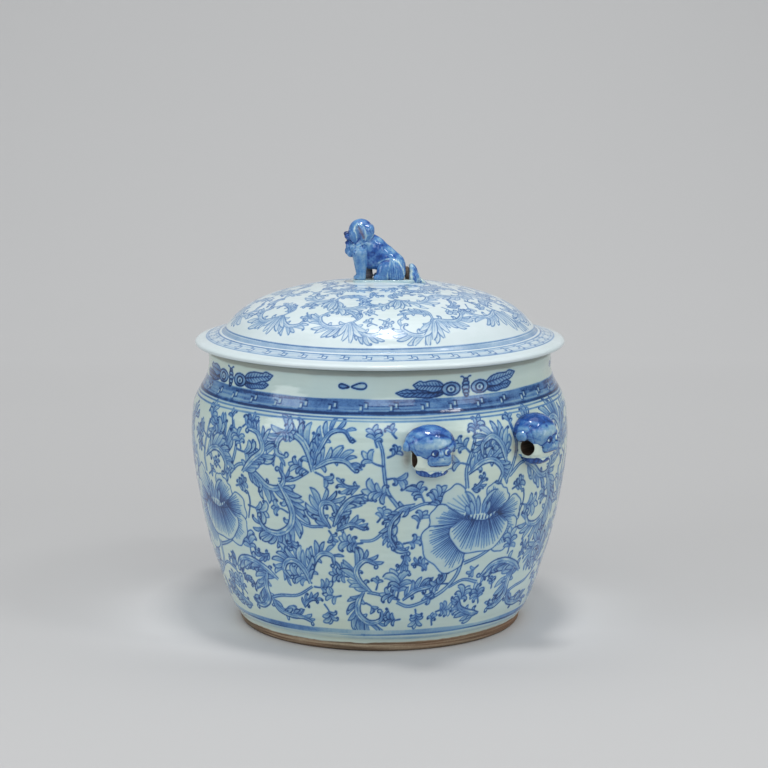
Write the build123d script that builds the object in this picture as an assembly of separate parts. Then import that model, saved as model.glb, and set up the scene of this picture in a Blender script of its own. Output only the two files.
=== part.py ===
from build123d import *
import math
import os

# Covered porcelain rice bowl: a pot with four pierced lion-mask lugs, and a lift-off
# domed lid with a seated lion-dog finial. Millimetres, +Z up.
# Origin: centre of the foot ring's underside, on the pot's axis.
# -Y is the display side ("near"). The finial faces -X.

# Pot
FOOT_R = 85.8            # outer radius at the standing edge
FOOT_BAND = 5.9          # height of the unglazed band round the foot
FOOT_RING_T = 8.0        # width of the foot ring
FOOT_RECESS = 7.5        # depth of the hollow under the base
FLOOR_T = 7.5            # thickness of the floor
BELLY_R = 115.0          # largest radius of the pot
NECK_R = 104.2           # outer radius of the upright neck
MOUTH_Z = 170.5          # height of the mouth rim
MOUTH_R = 99.2           # inner radius of the mouth
RIM_START_Z = MOUTH_Z - 2.0      # where the neck starts to round into the rim
MOUTH_BEVEL = 1.2        # size of the bevel inside the rim

# Lid
LIP_R = 112.4            # radius of the lid's rounded lip
LIP_T = 3.0              # thickness of the lip
LIP_Z = 170.6            # height of the lip's underside
CREASE_R = 95.5          # where the flange turns up into the dome
CREASE_Z = 178.4
CROWN_Z = 208.5          # top of the dome
FLANGE_IN_R = 99.0       # inner edge of the flange's flat underside
RING_GAP = 1.8           # clearance between locating ring and mouth
RING_OUT_R = MOUTH_R - RING_GAP
RING_IN_R = RING_OUT_R - 4.0
RING_DROP = 11.0         # how far the locating ring hangs into the neck
RING_BEVEL = 1.0
CAP_R = 120.0            # cutter above the lid's underside: radius and top
CAP_TOP = 240.0

# Lion-mask lugs: name and azimuth in degrees, from -Y towards +X
LUGS = [
    ("lion_mask_lug_front", 14.0),
    ("lion_mask_lug_right", 49.5),
    ("lion_mask_lug_back", 194.0),
    ("lion_mask_lug_left", 229.5),
]
LUG_Z = 125.3            # height of the lug's centre
LUG_W = 31.2             # width along the wall
LUG_H = 31.6             # height
LUG_D = 15.5             # how far it stands out from the wall
LUG_BORE_R = 4.5         # hole for a bail handle
LUG_BORE_OUT = 5.6       # distance of the hole's axis from the wall
LUG_BORE_DZ = -3.5       # hole's height from the lug's centre

# Finial
PLINTH_L = 38.6
PLINTH_W = 18.4
PLINTH_CORNER_R = 6.0
PLINTH_TOP = 209.4
PLINTH_T = 3.0           # thickness, down to the flat seat let into the crown
PLINTH_X = 2.7           # centre of the plinth along X
HEAD = (-11.4, 0.0, 238.5)
HEAD_R = 7.5

# Outlines: (radius, height)

# outer wall of the pot, from the foot's bevel to the rim
OUTER_WALL = [
    (FOOT_R + 0.1, 1.0), (87.3, FOOT_BAND), (90.2, 10.0), (93.2, 16.0), (97.05, 26.0),
    (101.45, 40.0), (106.2, 56.0), (109.9, 74.0), (113.0, 92.0), (114.8, 108.0),
    (BELLY_R, 116.0), (114.8, 124.0), (113.8, 134.0), (111.8, 140.0), (109.4, 144.4),
    (107.2, 148.0), (105.7, 151.6), (104.7, 155.0), (104.25, 158.5), (NECK_R, 163.0),
    (NECK_R, RIM_START_Z),
]
RIM = [(NECK_R, RIM_START_Z), (103.4, MOUTH_Z - 0.5), (102.2, MOUTH_Z)]
# inside of the pot, from the mouth down to the floor
INNER_WALL = [
    (MOUTH_R, MOUTH_Z - MOUTH_BEVEL), (MOUTH_R, 162.0), (99.4, 155.0), (100.9, 150.6),
    (103.0, 146.2), (105.8, 141.5), (108.0, 136.0), (109.3, 128.0), (109.8, 116.0),
    (109.4, 106.0), (107.6, 91.0), (104.5, 73.5), (100.8, 56.5), (96.2, 41.5),
    (91.4, 29.5), (84.0, 20.5), (70.0, 16.2), (50.0, 15.1),
]
# outer face of the dome, from the crown to the crease
DOME_OUTER = [
    (0.0, CROWN_Z), (15.0, 208.0), (30.0, 206.6), (45.0, 204.3), (58.0, 201.5),
    (70.0, 197.8), (80.0, 193.1), (87.0, 188.0), (91.6, 183.2), (94.2, 180.2),
    (CREASE_R, CREASE_Z),
]
# rounded edge of the lid, from the flange's top to its underside
LIP = [
    (110.6, LIP_Z + LIP_T + 0.35), (111.9, LIP_Z + LIP_T - 0.45), (LIP_R, LIP_Z + 1.5),
    (111.9, LIP_Z + 0.4), (110.8, LIP_Z),
]
# inner face of the dome, from its foot to the axis
DOME_INNER = [
    (94.4, 173.6), (91.0, 177.2), (86.0, 182.0), (79.0, 186.6), (69.0, 191.6),
    (57.0, 195.6), (44.0, 198.7), (30.0, 201.1), (15.0, 202.9), (0.0, 203.6),
]

# Ellipsoids of the finial: centre, half axes, tilt about Y in degrees
LION_CORE = [
    ((-17.6, 0, 234.0), (4.2, 4.6, 4.2), 0),      # muzzle
    ((-13.6, 0, 228.6), (7.4, 7.2, 6.6), 0),      # collar
    ((1.4, 0, 224.8), (15.0, 8.2, 9.4), 33),      # trunk
    ((9.4, 0, 217.6), (7.8, 8.4, 8.0), 0),        # rump
]
LION_HIND = [
    ((6.8, -5.4, 215.6), (9.2, 3.6, 7.8), 0),     # near haunch
    ((6.8, 5.4, 215.6), (9.2, 3.6, 7.8), 0),      # far haunch
    ((1.8, -5.6, 211.0), (5.8, 3.0, 3.0), 0),     # near hind paw
    ((1.8, 5.6, 211.0), (5.8, 3.0, 3.0), 0),      # far hind paw
]
# Forelegs, near then far: bottom end, top end, bottom radius, top radius are
# listed as top point, bottom point, top radius, bottom radius
FORELEGS = [
    ((-12.2, -4.4, 227.0), (-11.2, -4.6, 208.0), 4.3, 2.9),
    ((-8.8, 4.4, 227.0), (-6.6, 4.6, 208.0), 4.2, 2.9),
]
TAIL_ROOT = ((20.0, 0, 213.2), (3.4, 4.6, 4.9), -8)
TAIL_TIP = ((23.4, 0, 210.3), (5.2, 4.2, 2.2), 6)


def turned(*outline):
    """Solid turned about Z from a closed outline of (radius, height) points.

    A tuple is a corner and a list is a spline; straight lines join them in order.
    """
    runs = [item if isinstance(item, list) else [item] for item in outline]
    edges = []
    for run, following in zip(runs, runs[1:] + runs[:1]):
        points = [(r, 0.0, z) for r, z in run]
        start_r, start_z = following[0]
        if len(points) > 1:
            edges.append(Edge.make_spline(points))
        if math.dist(run[-1], following[0]) > 1e-6:
            edges.append(Edge.make_line(points[-1], (start_r, 0.0, start_z)))
    return revolve(Face(Wire(edges)), Axis.Z, 360)


def ellipsoid(centre, half_axes, tilt=0.0):
    """Solid ellipsoid, tilted by degrees about Y."""
    return Pos(*centre) * Rot(0, tilt, 0) * scale(Sphere(1), by=half_axes)


def limb(start, end, start_r, end_r):
    """Tapered round limb between two points."""
    span = Vector(*end) - Vector(*start)
    frame = Plane(origin=start, z_dir=span)
    return frame * Pos(0, 0, span.length / 2) * Cone(start_r, end_r, span.length)


def make_bowl():
    ring_in_r = FOOT_R - FOOT_RING_T
    return turned(
        (0.0, FOOT_RECESS),
        (ring_in_r - 1.5, FOOT_RECESS),
        (ring_in_r, 1.0),
        (ring_in_r + 1.2, 0.0),
        (FOOT_R - 1.0, 0.0),
        OUTER_WALL,
        RIM,
        (MOUTH_R + MOUTH_BEVEL, MOUTH_Z),
        INNER_WALL,
        (0.0, FOOT_RECESS + FLOOR_T),
    )


def make_lug():
    """Lion mask seated on the pot's wall at +X."""
    # mask frame: belly radius at x=0, +X outwards, z=0 at the hole's height
    centre_z = -LUG_BORE_DZ
    brow_h, snout_d, jaw_h = 12.0, 8.6, 9.0      # half axes
    brow = ellipsoid((2.0, 0, centre_z + LUG_H / 2 - brow_h), (12.0, LUG_W / 2, brow_h))
    snout = ellipsoid((LUG_D - snout_d, 0, centre_z - 6.0), (snout_d, 9.5, 7.2))
    jaw = ellipsoid((1.5, 0, centre_z - LUG_H / 2 + jaw_h), (10.2, LUG_W / 2 - 1.3, jaw_h))
    # the handle's hole runs along the wall, from side to side
    hole = Pos(LUG_BORE_OUT, 0, 0) * Rot(90, 0, 0) * Cylinder(LUG_BORE_R, 60)
    mask = brow + snout + jaw - hole
    # the pot filled solid to its outer wall trims the back of the mask
    plug = turned((0.0, 0.0), (FOOT_R + 0.1, 0.0), OUTER_WALL, (0.0, RIM_START_Z))
    return Pos(BELLY_R, 0, LUG_Z + LUG_BORE_DZ) * mask - plug


def make_lid(plinth):
    """Lid with the plinth's seat cut into its crown."""
    lid = turned(
        DOME_OUTER,
        (97.2, CREASE_Z - 0.55),
        LIP,
        (FLANGE_IN_R, LIP_Z),
        DOME_INNER,
    )
    return lid - plinth


def make_locating_ring():
    """Ring under the lid that drops into the neck, trimmed to the lid's underside."""
    top = LIP_Z + 6.0
    bottom = LIP_Z - RING_DROP
    ring = turned(
        (RING_OUT_R, top),
        (RING_OUT_R, bottom + RING_BEVEL),
        (RING_OUT_R - RING_BEVEL, bottom),
        (RING_IN_R + RING_BEVEL, bottom),
        (RING_IN_R, bottom + RING_BEVEL),
        (RING_IN_R, top),
    )
    cap = turned(
        (0.0, CAP_TOP),
        DOME_INNER[::-1],
        (FLANGE_IN_R, LIP_Z),
        (CAP_R, LIP_Z),
        (CAP_R, CAP_TOP),
    )
    return ring - cap


def make_plinth():
    outline = RectangleRounded(PLINTH_L, PLINTH_W, PLINTH_CORNER_R)
    return Pos(PLINTH_X, 0, PLINTH_TOP - PLINTH_T) * extrude(outline, PLINTH_T)


def make_lion(below_plinth_top):
    lion = Pos(*HEAD) * Sphere(HEAD_R)
    for part in LION_CORE:
        lion = lion + ellipsoid(*part)
    for leg in FORELEGS:
        lion = lion + limb(*leg)
    for part in LION_HIND:
        lion = lion + ellipsoid(*part)
    return lion - below_plinth_top


def make_tail(below_plinth_top, lion):
    return ellipsoid(*TAIL_ROOT) + ellipsoid(*TAIL_TIP) - below_plinth_top - lion


below_plinth_top = Pos(0, 0, PLINTH_TOP - 25) * Box(200, 200, 50)
plinth = make_plinth()
lion = make_lion(below_plinth_top)
parts = {
    "bowl": make_bowl(),
    "lid": make_lid(plinth),
    "lid_locating_ring": make_locating_ring(),
    "finial_plinth": plinth,
    "finial_lion": lion,
    "finial_tail": make_tail(below_plinth_top, lion),
}
lug = make_lug()
for name, azimuth in LUGS:
    parts[name] = Rot(0, 0, azimuth - 90) * lug

os.makedirs("parts", exist_ok=True)
for name, shape in parts.items():
    # trimming can leave slivers, so only the largest solid is kept
    solid = max(shape.solids(), key=lambda piece: piece.volume)
    solid.label = name
    export_step(solid, f"parts/{name}.step")
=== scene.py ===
"""Covered porcelain rice bowl: blue-and-white glaze, painted scroll, moulded lion-dog finial and
lion-mask lugs.

The bowl stands on z = 0, centred on the Z axis, with its front towards -Y. Azimuth runs from the
front towards +X. Sizes are in millimetres until they become meshes in metres; the studio is in
metres throughout."""
import math
from functools import cached_property, reduce

import bpy
import numpy as np
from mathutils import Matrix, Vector


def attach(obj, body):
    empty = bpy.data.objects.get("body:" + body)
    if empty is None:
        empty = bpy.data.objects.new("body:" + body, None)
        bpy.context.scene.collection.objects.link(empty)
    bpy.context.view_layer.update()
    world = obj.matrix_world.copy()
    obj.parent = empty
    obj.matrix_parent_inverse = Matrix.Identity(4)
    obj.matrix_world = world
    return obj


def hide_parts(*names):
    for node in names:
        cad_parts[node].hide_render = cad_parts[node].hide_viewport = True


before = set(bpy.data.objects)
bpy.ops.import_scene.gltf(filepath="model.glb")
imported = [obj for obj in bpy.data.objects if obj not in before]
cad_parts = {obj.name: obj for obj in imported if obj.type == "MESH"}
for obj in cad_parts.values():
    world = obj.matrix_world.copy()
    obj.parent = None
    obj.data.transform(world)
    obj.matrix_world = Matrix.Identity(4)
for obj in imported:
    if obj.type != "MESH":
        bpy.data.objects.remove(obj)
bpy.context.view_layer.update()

# ---------------------------------------------------------------- sizes
DOTS = 4.0            # painted dots per mm of canvas
SOFT_EDGE = 0.85 / DOTS                 # mm over which a painted edge fades
ROW_STEP = 0.46       # between rings of the painted surfaces
SECTIONS = 1664       # round the painted walls
LID_CELL = 0.24      # least section width towards the middle of the lid
VOXEL = 0.26          # grid of the modelled pieces

BELLY = 115.0                           # bowl radius on which the wall painting is laid out
PERIOD = 180.64                         # a quarter of the way round at the belly
ROUND = PERIOD * 4
SHEET_TOP = 177.0                       # height of the wall painting, along the wall
LID_SHEET = 124.0                       # half side of the lid painting

# Profiles: (radius, z), in the order they are turned.
BOWL_UNDER = [(r, 7.5) for r in (0, 0.6, 1.4, 2.6, 4.2, 6.3, 9, 12.6, 17, 24, 32, 42, 52, 62, 70,
                                 74.6, 76.0)]
BOWL_UNDER += [(76.9, 7.2), (77.5, 6.5), (77.75, 5.6), (77.8, 4.4), (77.8, 2.6)]
BOWL_FOOT = [(77.8, 1.1), (78.3, 0.35), (79.4, 0.0), (84.4, 0.0), (85.35, 0.3), (85.8, 0.9)]
BOWL_WALL = [
    (85.8, 0), (87.3, 5.9), (90.2, 10), (93.2, 16), (97.05, 26), (101.45, 40), (106.2, 56),
    (109.9, 74), (113, 92), (114.8, 108), (115, 116), (114.8, 124), (113.8, 134), (111.8, 140),
    (109.4, 144.4), (107.2, 148), (105.7, 151.6), (104.7, 155), (104.25, 158.5), (104.2, 163),
    (104.2, 168.5)]
BOWL_RIM = [(104.2, 168.5), (103.75, 169.75), (102.2, 170.5), (100.4, 170.5), (99.5, 170.1),
            (99.2, 169.3)]
BOWL_INSIDE = [
    (99.2, 169.3), (99.2, 162.0), (99.4, 155.0), (100.9, 150.6), (103.0, 146.2), (105.8, 141.5),
    (108.0, 136.0), (109.3, 128.0), (109.8, 116.0), (109.4, 106.0), (107.6, 91.0), (104.5, 73.5),
    (100.8, 56.5), (96.2, 41.5), (91.4, 29.5), (84.0, 20.5), (70.0, 16.2), (50.0, 15.1),
    (30.0, 15.0), (12.0, 15.0), (0.0, 15.0)]
DOME = [(0, 208.5), (15, 208), (30, 206.6), (45, 204.3), (58, 201.5), (70, 197.8), (80, 193.1),
        (87, 188), (91.6, 183.2), (94.2, 180.2), (95.5, 178.4)]
FLANGE = [(95.5, 178.4), (97.2, 177.85), (102, 176.4), (106.5, 175.15), (110.6, 173.95)]
LIP = [(110.6, 173.95), (111.9, 173.15), (112.4, 172.1), (111.9, 171.0), (110.8, 170.6)]
LID_UNDER = [(109, 170.6), (107, 170.6), (105, 170.6), (103, 170.6), (101, 170.6), (99.4, 170.65),
             (98.2, 171.1), (96.2, 172.4), (94.4, 173.7)]
DOME_INSIDE = [(94.4, 173.7), (91.0, 177.2), (86.0, 182.0), (79.0, 186.6), (69.0, 191.6),
               (57.0, 195.6), (44.0, 198.7), (30.0, 201.1), (15.0, 202.9), (0.0, 203.6)]

LUG_Z = 125.3                           # centre height of the lugs
LUG_AZIMUTH = {"lion_mask_lug_front": 14.0, "lion_mask_lug_right": 49.5,
               "lion_mask_lug_back": 194.0, "lion_mask_lug_left": 229.5}
LUG_X = [28.1, 99.4, 28.1 + 2 * PERIOD, 99.4 + 2 * PERIOD]   # their places on the wall painting
LUG_CLEAR = (130, 19)                   # height and radius kept clear of extra sprigs there
FACE = 3.1                              # the mask looks this far to one side
BORE = (5.6, -3.5)                      # hole through a lug: outwards from the belly, up from LUG_Z
BORE_RADIUS = 4.5

# Paper tones, painted to follow how the light falls along the sweep: (y in metres, tone)
PAPER_PAINTED_LIGHT = [(-0.5, 0.515), (-0.28, 0.515), (-0.06, 0.498), (0.14, 0.500), (0.32, 0.512),
         (0.52, 0.556), (0.76, 0.616), (0.98, 0.662)]


# ---------------------------------------------------------------- curves
def unit(v):
    return np.clip(v, 0, 1)


def catmull(points, n=8):
    """A smooth curve through the points, n steps to each span."""
    p = np.asarray(points, float)
    q = np.vstack([2 * p[0] - p[1], p, 2 * p[-1] - p[-2]])
    out = []
    t = np.linspace(0, 1, n, endpoint=False)[:, None]
    for i in range(1, len(q) - 2):
        a, b, c, d = q[i - 1], q[i], q[i + 1], q[i + 2]
        out.append(0.5 * ((2 * b) + (c - a) * t + (2 * a - 5 * b + 4 * c - d) * t ** 2
                          + (3 * b - a - 3 * c + d) * t ** 3))
    out.append(p[-1:])
    return np.vstack(out)


def arc_length(p):
    return np.concatenate([[0], np.cumsum(np.hypot(*np.diff(p, axis=0).T))])


def resample(p, count):
    s = arc_length(p)
    t = np.linspace(0, s[-1], count)
    return np.stack([np.interp(t, s, p[:, 0]), np.interp(t, s, p[:, 1])], 1)


def spline(points, step):
    """Points every step mm along a smooth curve."""
    c = catmull(points, 24)
    return resample(c, max(2, int(round(arc_length(c)[-1] / step)) + 1))


def normals(p):
    """Unit directions along a curve, and those across it to its left."""
    d = np.gradient(p, axis=0)
    d /= np.hypot(d[:, 0], d[:, 1])[:, None] + 1e-9
    return d, np.stack([-d[:, 1], d[:, 0]], 1)


def bend(x, y, heading, length, turn, n):
    """A short curve from (x, y) that turns by turn radians over its length."""
    t = (np.arange(n) + 0.5) / n
    h = heading + turn * t * t
    step = length / n
    tail = np.stack([x + np.cumsum(np.cos(h)) * step, y + np.cumsum(np.sin(h)) * step], 1)
    return np.vstack([[x, y], tail])


def ribbon(spine, offset):
    """Outline of a band reaching offset to both sides of its spine."""
    return np.vstack([spine + offset, (spine - offset)[::-1]])


def oval(x, y, rx, ry, count):
    t = np.linspace(0, 2 * math.pi, count)
    return np.stack([x + rx * np.cos(t), y + ry * np.sin(t)], 1)


def segment_offset(X, Y, start, end):
    """Share of a segment at which each point lies nearest, and the x and y offsets from there."""
    (ax, ay), (bx, by) = start, end
    dx, dy = bx - ax, by - ay
    along = np.clip(((X - ax) * dx + (Y - ay) * dy) / (dx * dx + dy * dy + 1e-9), 0, 1)
    return along, X - ax - along * dx, Y - ay - along * dy


# ---------------------------------------------------------------- canvas
class Canvas:
    """A flat sheet in mm that the brush paints on: ink is line work, wash is diluted cobalt."""

    def __init__(self, x0, y0, x1, y1, wrap=0.0):
        self.x0, self.y0, self.wrap = x0, y0, wrap
        self.w = int(round((x1 - x0) * DOTS))
        self.h = int(round((y1 - y0) * DOTS))
        self.ink = np.zeros((self.h, self.w), np.float32)
        self.wash = np.zeros((self.h, self.w), np.float32)

    def window(self, low, high):
        """Rows, columns, X and Y of the dots that cover a box, or None off the sheet."""
        i0 = max(0, int((low[1] - self.y0) * DOTS) - 1)
        i1 = min(self.h, int((high[1] - self.y0) * DOTS) + 3)
        j0 = int(math.floor((low[0] - self.x0) * DOTS)) - 1
        j1 = int(math.floor((high[0] - self.x0) * DOTS)) + 3
        if not self.wrap:
            j0, j1 = max(0, j0), min(self.w, j1)
        if i1 <= i0 or j1 <= j0:
            return None
        ys = self.y0 + (np.arange(i0, i1) + 0.5) / DOTS
        xs = self.x0 + (np.arange(j0, j1) + 0.5) / DOTS
        columns = np.arange(j0, j1)
        if self.wrap:
            columns = columns % self.w
        return slice(i0, i1), columns, xs[None, :], ys[:, None]

    def stroke(self, points, start, end=None, dark=1.0):
        """A brush line whose width runs from start to end."""
        p = np.asarray(points, np.float32)
        end = start if end is None else end
        w = start + (end - start) * np.linspace(0, 1, len(p))
        pad = w.max() / 2 + 2 * SOFT_EDGE
        window = self.window(p.min(0) - pad, p.max(0) + pad)
        if window is None:
            return
        rows, columns, X, Y = window
        best = np.full((len(Y), len(columns)), -9.0, np.float32)
        for k in range(len(p) - 1):
            along, dx, dy = segment_offset(X, Y, p[k], p[k + 1])
            inside = (w[k] + (w[k + 1] - w[k]) * along) / 2 - np.hypot(dx, dy)
            np.maximum(best, inside, out=best)
        cover = unit(best / SOFT_EDGE + 0.5) * dark
        self.ink[rows, columns] = np.maximum(self.ink[rows, columns], cover)

    def fill(self, outline, wash):
        """Covers a closed outline with a wash, a number or a function of (X, Y)."""
        p = np.asarray(outline, np.float32)
        pad = 2 * SOFT_EDGE
        window = self.window(p.min(0) - pad, p.max(0) + pad)
        if window is None:
            return
        rows, columns, X, Y = window
        X, Y = np.broadcast_arrays(X, Y)
        nearest = np.full(X.shape, 1e9, np.float32)
        inside = np.zeros(X.shape, bool)
        for (ax, ay), (bx, by) in zip(p, np.roll(p, -1, 0)):
            _, dx, dy = segment_offset(X, Y, (ax, ay), (bx, by))
            np.minimum(nearest, dx ** 2 + dy ** 2, out=nearest)
            if ay != by:
                crosses = (ay > Y) != (by > Y)
                inside ^= crosses & (X < (bx - ax) * (Y - ay) / (by - ay) + ax)
        depth = np.sqrt(nearest)
        cover = unit(np.where(inside, depth, -depth) / SOFT_EDGE + 0.5)
        tone = wash(X, Y) if callable(wash) else wash
        self.wash[rows, columns] = self.wash[rows, columns] * (1 - cover) + tone * cover
        self.ink[rows, columns] = self.ink[rows, columns] * (1 - cover)

    def bleed(self, amount):
        """Cobalt spreads a little into the glaze around it."""
        r = max(1, int(round(0.55 * DOTS)))
        soft = np.maximum(self.ink, self.wash * 0.7)
        for _ in range(2):
            soft = box_blur(soft, r, bool(self.wrap))
        self.wash = np.clip(self.wash + amount * soft, 0, 1.2)

    def sample(self, x, y):
        """Ink and wash at points, bilinear."""
        fx = (x - self.x0) * DOTS - 0.5
        fy = np.clip((y - self.y0) * DOTS - 0.5, 0, self.h - 1.001)
        if self.wrap:
            fx = fx % self.w
        else:
            fx = np.clip(fx, 0, self.w - 1.001)
        j0 = np.floor(fx).astype(int)
        i0 = np.floor(fy).astype(int)
        u, v = fx - j0, fy - i0
        j1 = (j0 + 1) % self.w
        j0 = j0 % self.w
        i1 = np.minimum(i0 + 1, self.h - 1)
        return [a[i0, j0] * (1 - u) * (1 - v) + a[i0, j1] * u * (1 - v)
                + a[i1, j0] * (1 - u) * v + a[i1, j1] * u * v for a in (self.ink, self.wash)]


def box_blur(a, r, wrap):
    """Running mean of radius r along both ways."""
    for axis in (0, 1):
        n = 2 * r + 1
        if axis == 1 and wrap:
            p = np.concatenate([a[:, -r:], a, a[:, :r]], 1)
        else:
            pad = [(0, 0), (0, 0)]
            pad[axis] = (r, r)
            p = np.pad(a, pad, mode="edge")
        c = np.cumsum(p, axis=axis, dtype=np.float64)
        c = np.concatenate([np.zeros_like(np.take(c, [0], axis)), c], axis)
        size = c.shape[axis]
        a = (np.take(c, np.arange(n, size), axis) - np.take(c, np.arange(0, size - n), axis)) / n
    return a.astype(np.float32)


# ---------------------------------------------------------------- brush
# Petals: x, y of the root, heading and half angle (degrees), radius, tone, white margin,
# waves of the rim, root share of the radius, hatch lines, hatch width
PETALS = [
    (-1, 2, 148, 25, 30, 0.12, 0.30, 3, 0.35, 8, 0.4),
    (-3, -1, 174, 21, 32, 0.42, 0.22, 3, 0.16, 15, 0.62),
    (5, 1, 56, 31, 23, 0.62, 0.14, 5, 0.12, 16, 0.62),
    (10, 1, 4, 27, 26, 0.60, 0.15, 3, 0.1, 15, 0.62),
    (6, 2, -40, 27, 32, 0.60, 0.14, 3, 0.2, 16, 0.62),
    (-2, 1, -139, 32, 41, 0.50, 0.17, 3, 0.3, 24, 0.62),
    (3, 14, -91, 47, 37, 0.72, 0.12, 3, 0.40, 25, 0.7)]


class Brush:
    """Motifs of a scrolling foliage border. fine scales line widths; ink and wash scale tones."""

    def __init__(self, canvas, rng, fine, ink, wash):
        self.canvas, self.rng = canvas, rng
        self.fine, self.ink, self.wash = fine, ink, wash

    def line(self, points, start, end=None, dark=1.0):
        end = start if end is None else end
        self.canvas.stroke(points, start * self.fine, end * self.fine, self.ink * dark)

    def lobe(self, x, y, heading, length, width, turn, wash, vein=True, blunt=0.0, curl=0.0):
        """One tongue of a leaf: narrow at its root, full past the middle, its tip turned over."""
        spine = bend(x, y, heading, length, turn, 11)
        across = normals(spine)[1]
        n = len(spine)
        taper = [0.55, 0.82, 1.0, 0.66 + 0.22 * blunt, max(0.04, 0.06 + 0.45 * blunt)]
        profile = np.interp(np.linspace(0, 1, n), [0, 0.25, 0.55, 0.82, 1], taper)[:, None]
        offset = across * (width / 2 * profile)
        hand = 1 if turn > 0 else -1
        tone = wash * self.wash * self.rng.uniform(0.65, 1.3)
        root_x, root_y = spine[0]
        lee_x, lee_y = across[n // 2] * hand
        mid_x, mid_y = spine[n // 2]

        def shade(X, Y):
            # deep at the root and on the side the tongue turns to
            r = np.hypot(X - root_x, Y - root_y) / max(length, 1e-3)
            lee = ((X - mid_x) * lee_x + (Y - mid_y) * lee_y) / (width / 2 + 1e-3)
            return tone * np.clip(1.25 - r + 0.45 * lee, 0.06, 1.5)
        self.canvas.fill(ribbon(spine, offset), shade)
        dark = self.rng.uniform(0.66, 1.0)
        self.line(spine - hand * offset, 0.46, 0.66, dark)
        self.line(spine + hand * offset, 0.28, 0.44, dark * 0.9)
        if vein and length > 4.5:
            self.line(spine[1: int(n * 0.72)], 0.34, 0.16, dark * 0.6)
        if curl:
            d = spine[-1] - spine[-3]
            self.hook(*spine[-1], math.atan2(d[1], d[0]), curl, hand)

    def hook(self, x, y, heading, r, hand):
        """A curled bud at the end of a leaf or tendril; hand +1 curls it to the left."""
        t = np.linspace(0, 1.45 * math.pi, 12)
        rr = r * (1 - 0.42 * t / t[-1])
        cx, cy = x - hand * math.sin(heading) * r, y + hand * math.cos(heading) * r
        a = heading - hand * math.pi / 2
        p = np.stack([cx + rr * np.cos(a + hand * t), cy + rr * np.sin(a + hand * t)], 1)
        self.canvas.fill(p, 0.22 * self.wash)
        self.line(p, 0.55, 0.8, 0.95)

    def stem(self, points, width):
        c = resample(catmull(points), max(6, int(len(points) * 8 * 0.9)))
        offset = normals(c)[1] * (width / 2 * (1 - 0.35 * np.linspace(0, 1, len(c))[:, None]))
        self.canvas.fill(ribbon(c, offset), 0.3 * self.wash)
        self.line(c + offset, 0.5, 0.45, 0.85)
        self.line(c - offset, 0.5, 0.45, 0.85)

    def leaf(self, points, side, width, length, tongues, wash=0.5, spread=0.8, back=2, hook=True):
        """A scrolled acanthus leaf from base to curled tip. Tongues of the given length stand on
        its side (+1 left, -1 right); back counts the short ones on the other."""
        rng = self.rng
        spine = resample(catmull(points, 10), 40)
        along, across = normals(spine)
        heading = np.unwrap(np.arctan2(along[:, 1], along[:, 0]))
        places = np.linspace(0.93, 0.08, max(5, int(round(tongues * 1.35))))
        for t in places:
            k = int(t * 39)
            swell = 0.62 + 0.62 * math.sin(math.pi * min(1, 0.12 + t * 0.88)) - 0.12 * t
            size = length * swell * rng.uniform(0.82, 1.2)
            a = heading[k] + side * (spread * rng.uniform(0.62, 1.05))
            stand = width * (0.45 + 0.15 * math.sin(math.pi * t))
            x, y = spine[k] + across[k] * side * stand * 0.30
            turn = side * rng.choice([-1.0, 1.0], p=[0.66, 0.34]) * rng.uniform(0.35, 1.1)
            self.lobe(x, y, a - turn * 0.35, size, max(1.7, size * rng.uniform(0.25, 0.34)),
                      turn, wash=wash * 1.1, blunt=rng.uniform(-0.1, 0.3),
                      curl=(0.7 if rng.uniform() < 0.22 else 0))
        for i in range(back):
            t = 0.12 + 0.3 * i + rng.uniform(-0.04, 0.04)
            k = int(min(0.9, t) * 39)
            a = heading[k] - side * rng.uniform(0.55, 0.95)
            size = length * 0.62 * rng.uniform(0.8, 1.15)
            self.lobe(*spine[k], a, size, max(1.5, size * 0.42), -side * 1.5, wash=wash * 0.9,
                      blunt=0.4, curl=(0.7 if rng.uniform() < 0.4 else 0))
        profile = np.interp(np.linspace(0, 1, 40), [0, 0.2, 0.6, 0.9, 1],
                            [0.30, 0.80, 0.78, 0.48, 0.25])
        half = (width / 2 * profile)[:, None]
        tone = rng.uniform(0.7, 1.15) * wash * self.wash
        phase = rng.uniform(0, 6)
        self.canvas.fill(ribbon(spine, across * half), lambda X, Y: tone * np.clip(
            0.62 + 0.5 * np.sin(X * 0.6 + Y * 0.5 + phase), 0.12, 1.25))
        self.line(spine - side * across * half, 0.50, 0.62)
        self.line(spine + side * across * half * 0.92, 0.34, 0.42, 0.75)
        # veins sweep from the spine into the tongues
        self.line((spine + side * across * half * 0.15)[3:34], 0.36, 0.22, 0.6)
        for t in places[::2]:
            k = int(t * 39)
            a = heading[k] + side * spread * 0.75
            x, y = spine[max(0, k - 4)]
            reach = width * 0.85 + length * 0.2
            self.line(bend(x, y, a - side * 0.35, reach, side * 0.25, 5), 0.34, 0.16, 0.55)
        if hook:
            self.hook(*spine[-1], heading[-1], max(1.0, width * 0.34),
                      side if rng.uniform() < 0.15 else -side)

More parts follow.
